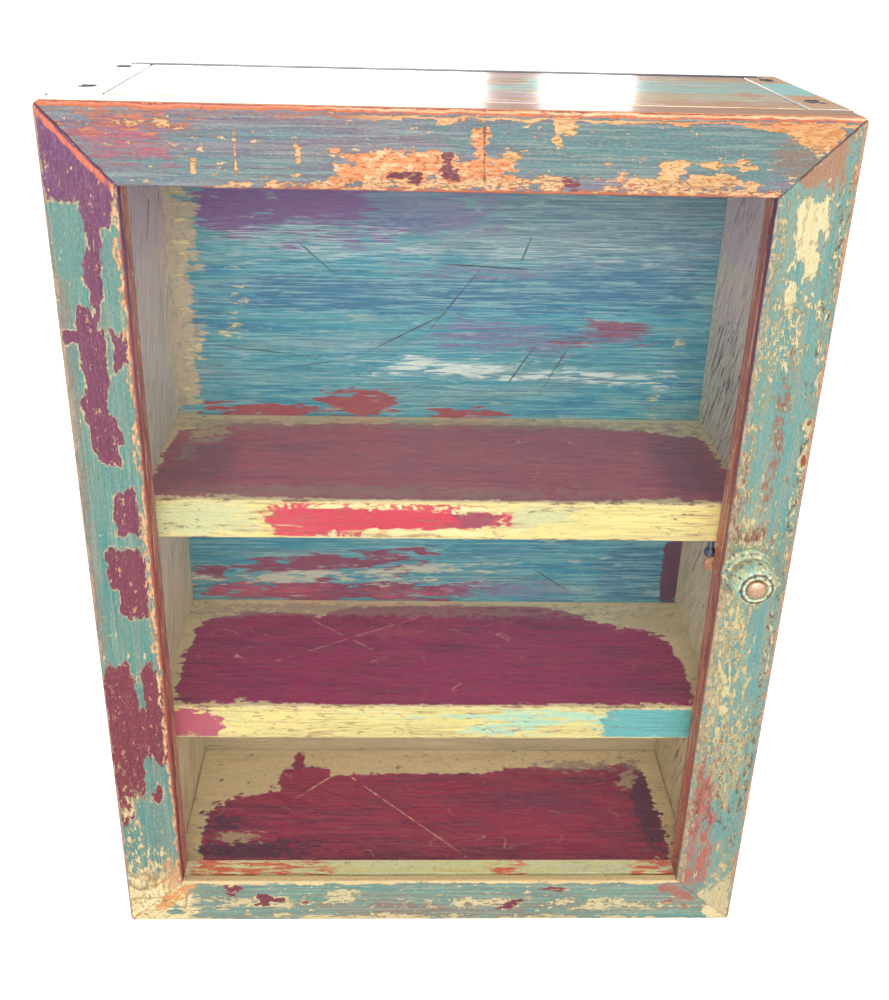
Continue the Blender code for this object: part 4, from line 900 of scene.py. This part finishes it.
left_over = coat.spots([
    (-214, 512, 8.5, 22), (-192.5, 510, 3.4, 13), (-200, 206, 2.5, 12), (-200, 138, 3, 16)],
    1.8, 0.4)
coat.lay(left_over, coat.ramp(fine, "64a29e", "84b0a8"), 0.14, "d8d0ac")
coat.strength = 0.8
scraped_corner(coat)
cream = coat.spots([(-216, 84, 6, 36), (-206, 60, 20, 18)], 4, 4)
coat.lay(coat.times(cream, coat.flakes(0.45, 0.6)), "e6d2a0", -0.1, "9a8a6c")
coat.lay(coat.times(coat.spots([(-190, 45, 7, 14)], 5, 3), 0.7), "e0a672")
arris_cream = coat.ramp(fine, "f2d3a2", "eab07e", "f6dcb0")
coat.lay(coat.times(arris(coat, 4.2, 2.6), coat.flakes(0.52, 0.26)), arris_cream, -0.12, "7a4a50")
coat.lay(coat.times(arris(coat, 1.4, 0.9), coat.flakes(0.7, 0.6)), "b9604a", -0.12)
coat.lay(outer_edge(coat, 1.6, 1.4), "b99a83", -0.1)
coat.lay(coat.flakes(0.22, 0.5), "e9d6a8", -0.1)
# A coral line beside the upper mitre on the stile: a painted highlight along the joint's edge.
mitre_highlight = coat.spots([(-207.2, 566, 30, 1.6, -47.7)], 0.6, 0.8)
coat.lay(mitre_highlight, coat.ramp(fine, "f08a5a", "e0705c", "f6a070"), -0.1)
coat.lay(coat.spots([mitre("left", 0.6)], 0.5, 0.5), "6b3248", -0.35)
rise = add(coat.tree, "MapRange", coat.across[2], SIGHT_LOW[2], SIGHT_HIGH[2])
sight_tones = coat.ramp(rise, "8d3c4a", "a84a54", "c8685c", "c06060", "a06080", "76508c")
coat.lay(arris(coat, 0.4, 0.2), sight_tones)
coat.cover("stile_left")

# Right stile: teal, with cream showing through finely over its middle.
coat = Coat("stile_right_paint", grain=STILE_GRAIN)
broad = coat.strokes(0.09, 0.2, 0.008, 5.0)
fine = coat.strokes(0.45, 0.2, 0.010, 3.0)
coat.colour = coat.ramp(broad, "4ea2ac", "68aeac", "86b0a6", "a8aa98")
coat.height = coat.calc("MULTIPLY", fine, 0.45)
coat.lay(coat.times(coat.above(fine, 0.54, 0.14), 0.5), "a8a894", -0.1)
blue_marks = coat.above(coat.strokes(0.5, 0.2, 0.014, 3.0), 0.6, 0.1)
coat.lay(coat.times(blue_marks, 0.5), "66a6aa", 0.05)
brown = coat.spots([(203, 568, 22, 15)], 6, 3)
coat.lay(coat.times(brown, coat.above(broad, 0.3, 0.3)), "b98a70", 0.02)
cream_zone = coat.spots([
    (193, 225, 12, 110), (200, 158, 18, 48), (192, 332, 10, 12), (216, 30, 8, 30)], 6, 10)
level = coat.calc("MULTIPLY_ADD", cream_zone, 0.22, 0.3)
cream_marks = coat.above(coat.strokes(0.14, 0.2, 0.02, 6.0), 0.5, 0.3)
coat.lay(coat.times(cream_zone, cream_marks, 0.5), "d2cfa4")
creams = coat.ramp(broad, "f6e8b0", "ecd69c", "f6ecc0")
coat.lay(coat.flakes(level, 0.5), creams, -0.16, "948868")
chipped = coat.spots([
    (221, 400, 3, 190), (198, 462, 10, 26), (200, 327, 18, 8), (186.5, 300, 2.5, 240)], 4, 3)
coat.lay(coat.times(chipped, coat.flakes(0.47, 0.3)), "f0e2b0", -0.14, "8c7a5c")
high_cream = coat.spots([
    (202, 530, 9, 13), (200, 512, 7, 6), (198, 490, 5, 6), (206, 497, 3, 9)], 6, 0.5)
coat.lay(high_cream, coat.ramp(fine, "f3e2a8", "f6ecc0"), -0.16, "a89468")
coral = coat.spots([(194, 60, 9, 48), (190, 112, 7, 40)], 5, 4)
coat.lay(coat.times(coral, coat.flakes(0.6, 0.8, 0.12)), "cc7468", 0.03)
brown = coat.spots([(185, 350, 2.5, 30), (196, 332, 12, 5), (203, 390, 4, 40)], 3, 2)
coat.lay(coat.times(brown, coat.flakes(0.5, 0.4, 0.08)), "a4725c", -0.05)
dark = coat.spots([(203, 135, 20, 45), (220, 300, 3, 200), (196, 245, 5, 12)], 4, 4)
coat.lay(coat.times(dark, coat.flakes(0.36, 0.5)), "6e3c38", -0.1)
coat.lay(coat.spots([(220.5, 411, 3, 6), (221.5, 384, 2, 4)], 3, 0.6), "ecd9aa", -0.1)
coat.lay(coat.spots([(221, 411, 1.6, 3), (222, 384, 1, 2)], 1.6, 0.6), "a8503c", -0.1)
low_corner = coat.spots([(213, 18, 13, 20)], 5, 2)
coat.lay(coat.times(low_corner, coat.flakes(0.8)), "eedcac", -0.1)
coat.lay(coat.times(arris(coat, 4.0, 2.6), coat.flakes(0.5, 0.36)), "e0c8a0", -0.1, "94705c")
coat.lay(outer_edge(coat, 2.0, 1.6), "dca98a", -0.12)
coat.lay(coat.flakes(0.24, 0.5), "efe2b8", -0.1)
coat.lay(coat.times(coat.spots([mitre("right", 0.5)], 0.5, 0.5), 0.75), "7a5040", -0.35)
rise = add(coat.tree, "MapRange", coat.across[2], SIGHT_LOW[2], SIGHT_HIGH[2])
coat.strength = 0.8
sight_tones = coat.ramp(rise, "b8786c", "c08274", "b87a70", "9a6070", "6a4a7c")
coat.lay(arris(coat, 0.4, 0.2), sight_tones)
coat.cover("stile_right")

# Loose tongues inside the mitres, bare beech.
coat = Coat("tongue_wood", grain=(0.1, 0.3, 0.3), shine=0.7)
coat.colour = coat.ramp(coat.strokes(0.05, 0.3, 0.3), "b08c62", "c7a67c")
coat.height = coat.calc("MULTIPLY", coat.ragged, 0.2)
coat.cover(*[name for name in nodes if name.startswith("mitre_tongue")])


# Glazing: a clear 3 mm pane in the frame's rebate, held from behind by four mitred beads in coral
# and cream.
GLASS_TINT = (0.97, 0.99, 0.985, 1)
THIN_GLASS = 1.2  # a lower index than a block of glass has, since the pane hardly bends light

pane = bpy.data.materials.new("clear_glass")
pane.use_nodes = True
glass = pane.node_tree.nodes["Principled BSDF"].inputs
glass["Base Color"].default_value = GLASS_TINT
glass["IOR"].default_value = THIN_GLASS
glass["Transmission Weight"].default_value = 1.0
metres = add(pane.node_tree, "TexCoord", output=3)
smears = noise(pane.node_tree, metres, 14.0, 4.0, 0.6)
smeared = add(pane.node_tree, "MapRange", smears, 0.45, 0.75, 0.0, 0.012)
pane.node_tree.links.new(smeared, glass["Roughness"])
nodes["glass_pane"].data.materials.clear()
nodes["glass_pane"].data.materials.append(pane)

for side in ("left", "right"):
    coat = Coat("bead_paint_" + side, grain=(0.1, 0.1, 0.08), strength=1.2)
    broad = coat.strokes(0.2, 0.1, 0.02, 5.0)
    coat.colour = coat.ramp(broad, "7c3a4e", "a8524a", "c46c5c", "94445a")
    coat.height = coat.calc("MULTIPLY", broad, 0.2)
    ridges = coat.above(coat.strokes(0.9, 0.9, 0.012, 3.0), 0.6, 0.1)
    coat.lay(coat.times(ridges, 0.6), "4c2438", -0.2)
    coral = coat.above(coat.strokes(0.7, 0.7, 0.03, 3.0), 0.62, 0.1)
    coat.lay(coat.times(coral, 0.6), "f0b894", 0.1)
    coat.lay(coat.flakes(0.24, 0.5), "f6cf90", -0.1)
    coat.lay(coat.flakes(0.2, 0.4), "8f4038", -0.1)
    coat.cover("glazing_bead_" + side)

for side in ("bottom", "top"):
    coat = Coat("bead_paint_" + side, grain=(0.04, 0.1, 0.16), strength=2.0)
    broad = coat.strokes(0.02, 0.1, 0.2, 5.0)
    coat.colour = coat.ramp(broad, "f29468", "ffbc84", "ffd29a", "f8a878")
    coat.height = coat.calc("MULTIPLY", broad, 0.2)
    red = coat.spots([(-132, 34, 52, 30), (58, 34, 12, 30), (170, 34, 20, 30)], 6, 6)
    red_marks = coat.above(coat.strokes(0.05, 0.3, 0.4, 5.0), 0.5, 0.1)
    coat.lay(coat.times(red, red_marks), "cc5a44", -0.1)
    coat.lay(coat.flakes(0.24, 0.5), "f6cf90", -0.1)
    coat.lay(coat.flakes(0.2, 0.4), "8f4038", -0.1)
    coat.cover("glazing_bead_" + side)


# The knob and its latch: a turned wooden knob in flaking mint and cream paint, held by a domed
# copper-coloured bolt that turns an iron tongue behind the stile. A dark blue peg under the shelf
# stops the tongue.
KNOB_AXIS = (197, 0, 306)
knob_rings = ((10.0, 0.8, 0.9), (15.5, 0.5, 0.5), (21.0, 1.1, 0.75))  # radius, width, darkness

coat = Coat("knob_paint", grain=(0.25, 0.12, 0.25), strength=1.1)
around = coat.strokes(0.22, 0.1, 0.16, 5.0)
coat.colour = coat.ramp(around, "6ba6a2", "8dbdae", "b6ccac", "e2d8ae")
coat.height = coat.calc("MULTIPLY", coat.ragged, 0.5)
coat.lay(coat.flakes(0.46, 0.6), "eadcae", -0.15, "6c5a50")
coat.lay(coat.flakes(0.3, 0.5), "5d4c4c", -0.25)
flat = vector(coat.tree, "MULTIPLY", coat.place, (1, 0, 1))
radius = vector(coat.tree, "DISTANCE", flat, KNOB_AXIS, output=1)
for ring, width, darkness in knob_rings:
    gap = coat.calc("ABSOLUTE", coat.calc("SUBTRACT", radius, ring))
    coat.lay(coat.times(coat.near(gap, width, 0.5), darkness), "48343c", -0.1)
coat.cover("knob")

coat = two_tone("bolt_copper", 0.6, 0.1, "e3c3a8", "b98a72", shine=0.35, strength=1.0)
coat.cover("knob_bolt", Metallic=0.8)

coat = two_tone("latch_steel", 0.6, 0.1, "8a8078", "5a4a40", shine=0.4, strength=1.0)
coat.cover("latch_spacer", "latch_nut", Metallic=0.8)

coat = two_tone("latch_paint", 0.3, 0.2, "a8583c", "e6b088", blend=0.2, strength=1.2)
coat.lay(coat.flakes(0.3), "3a2a30", -0.1)
coat.cover("latch_tongue")

coat = two_tone("peg_paint", 0.4, 0.1, "182046", "2a2c50", shine=0.2, strength=1.2)
coat.cover("stop_peg", Coat_Weight=0.5)
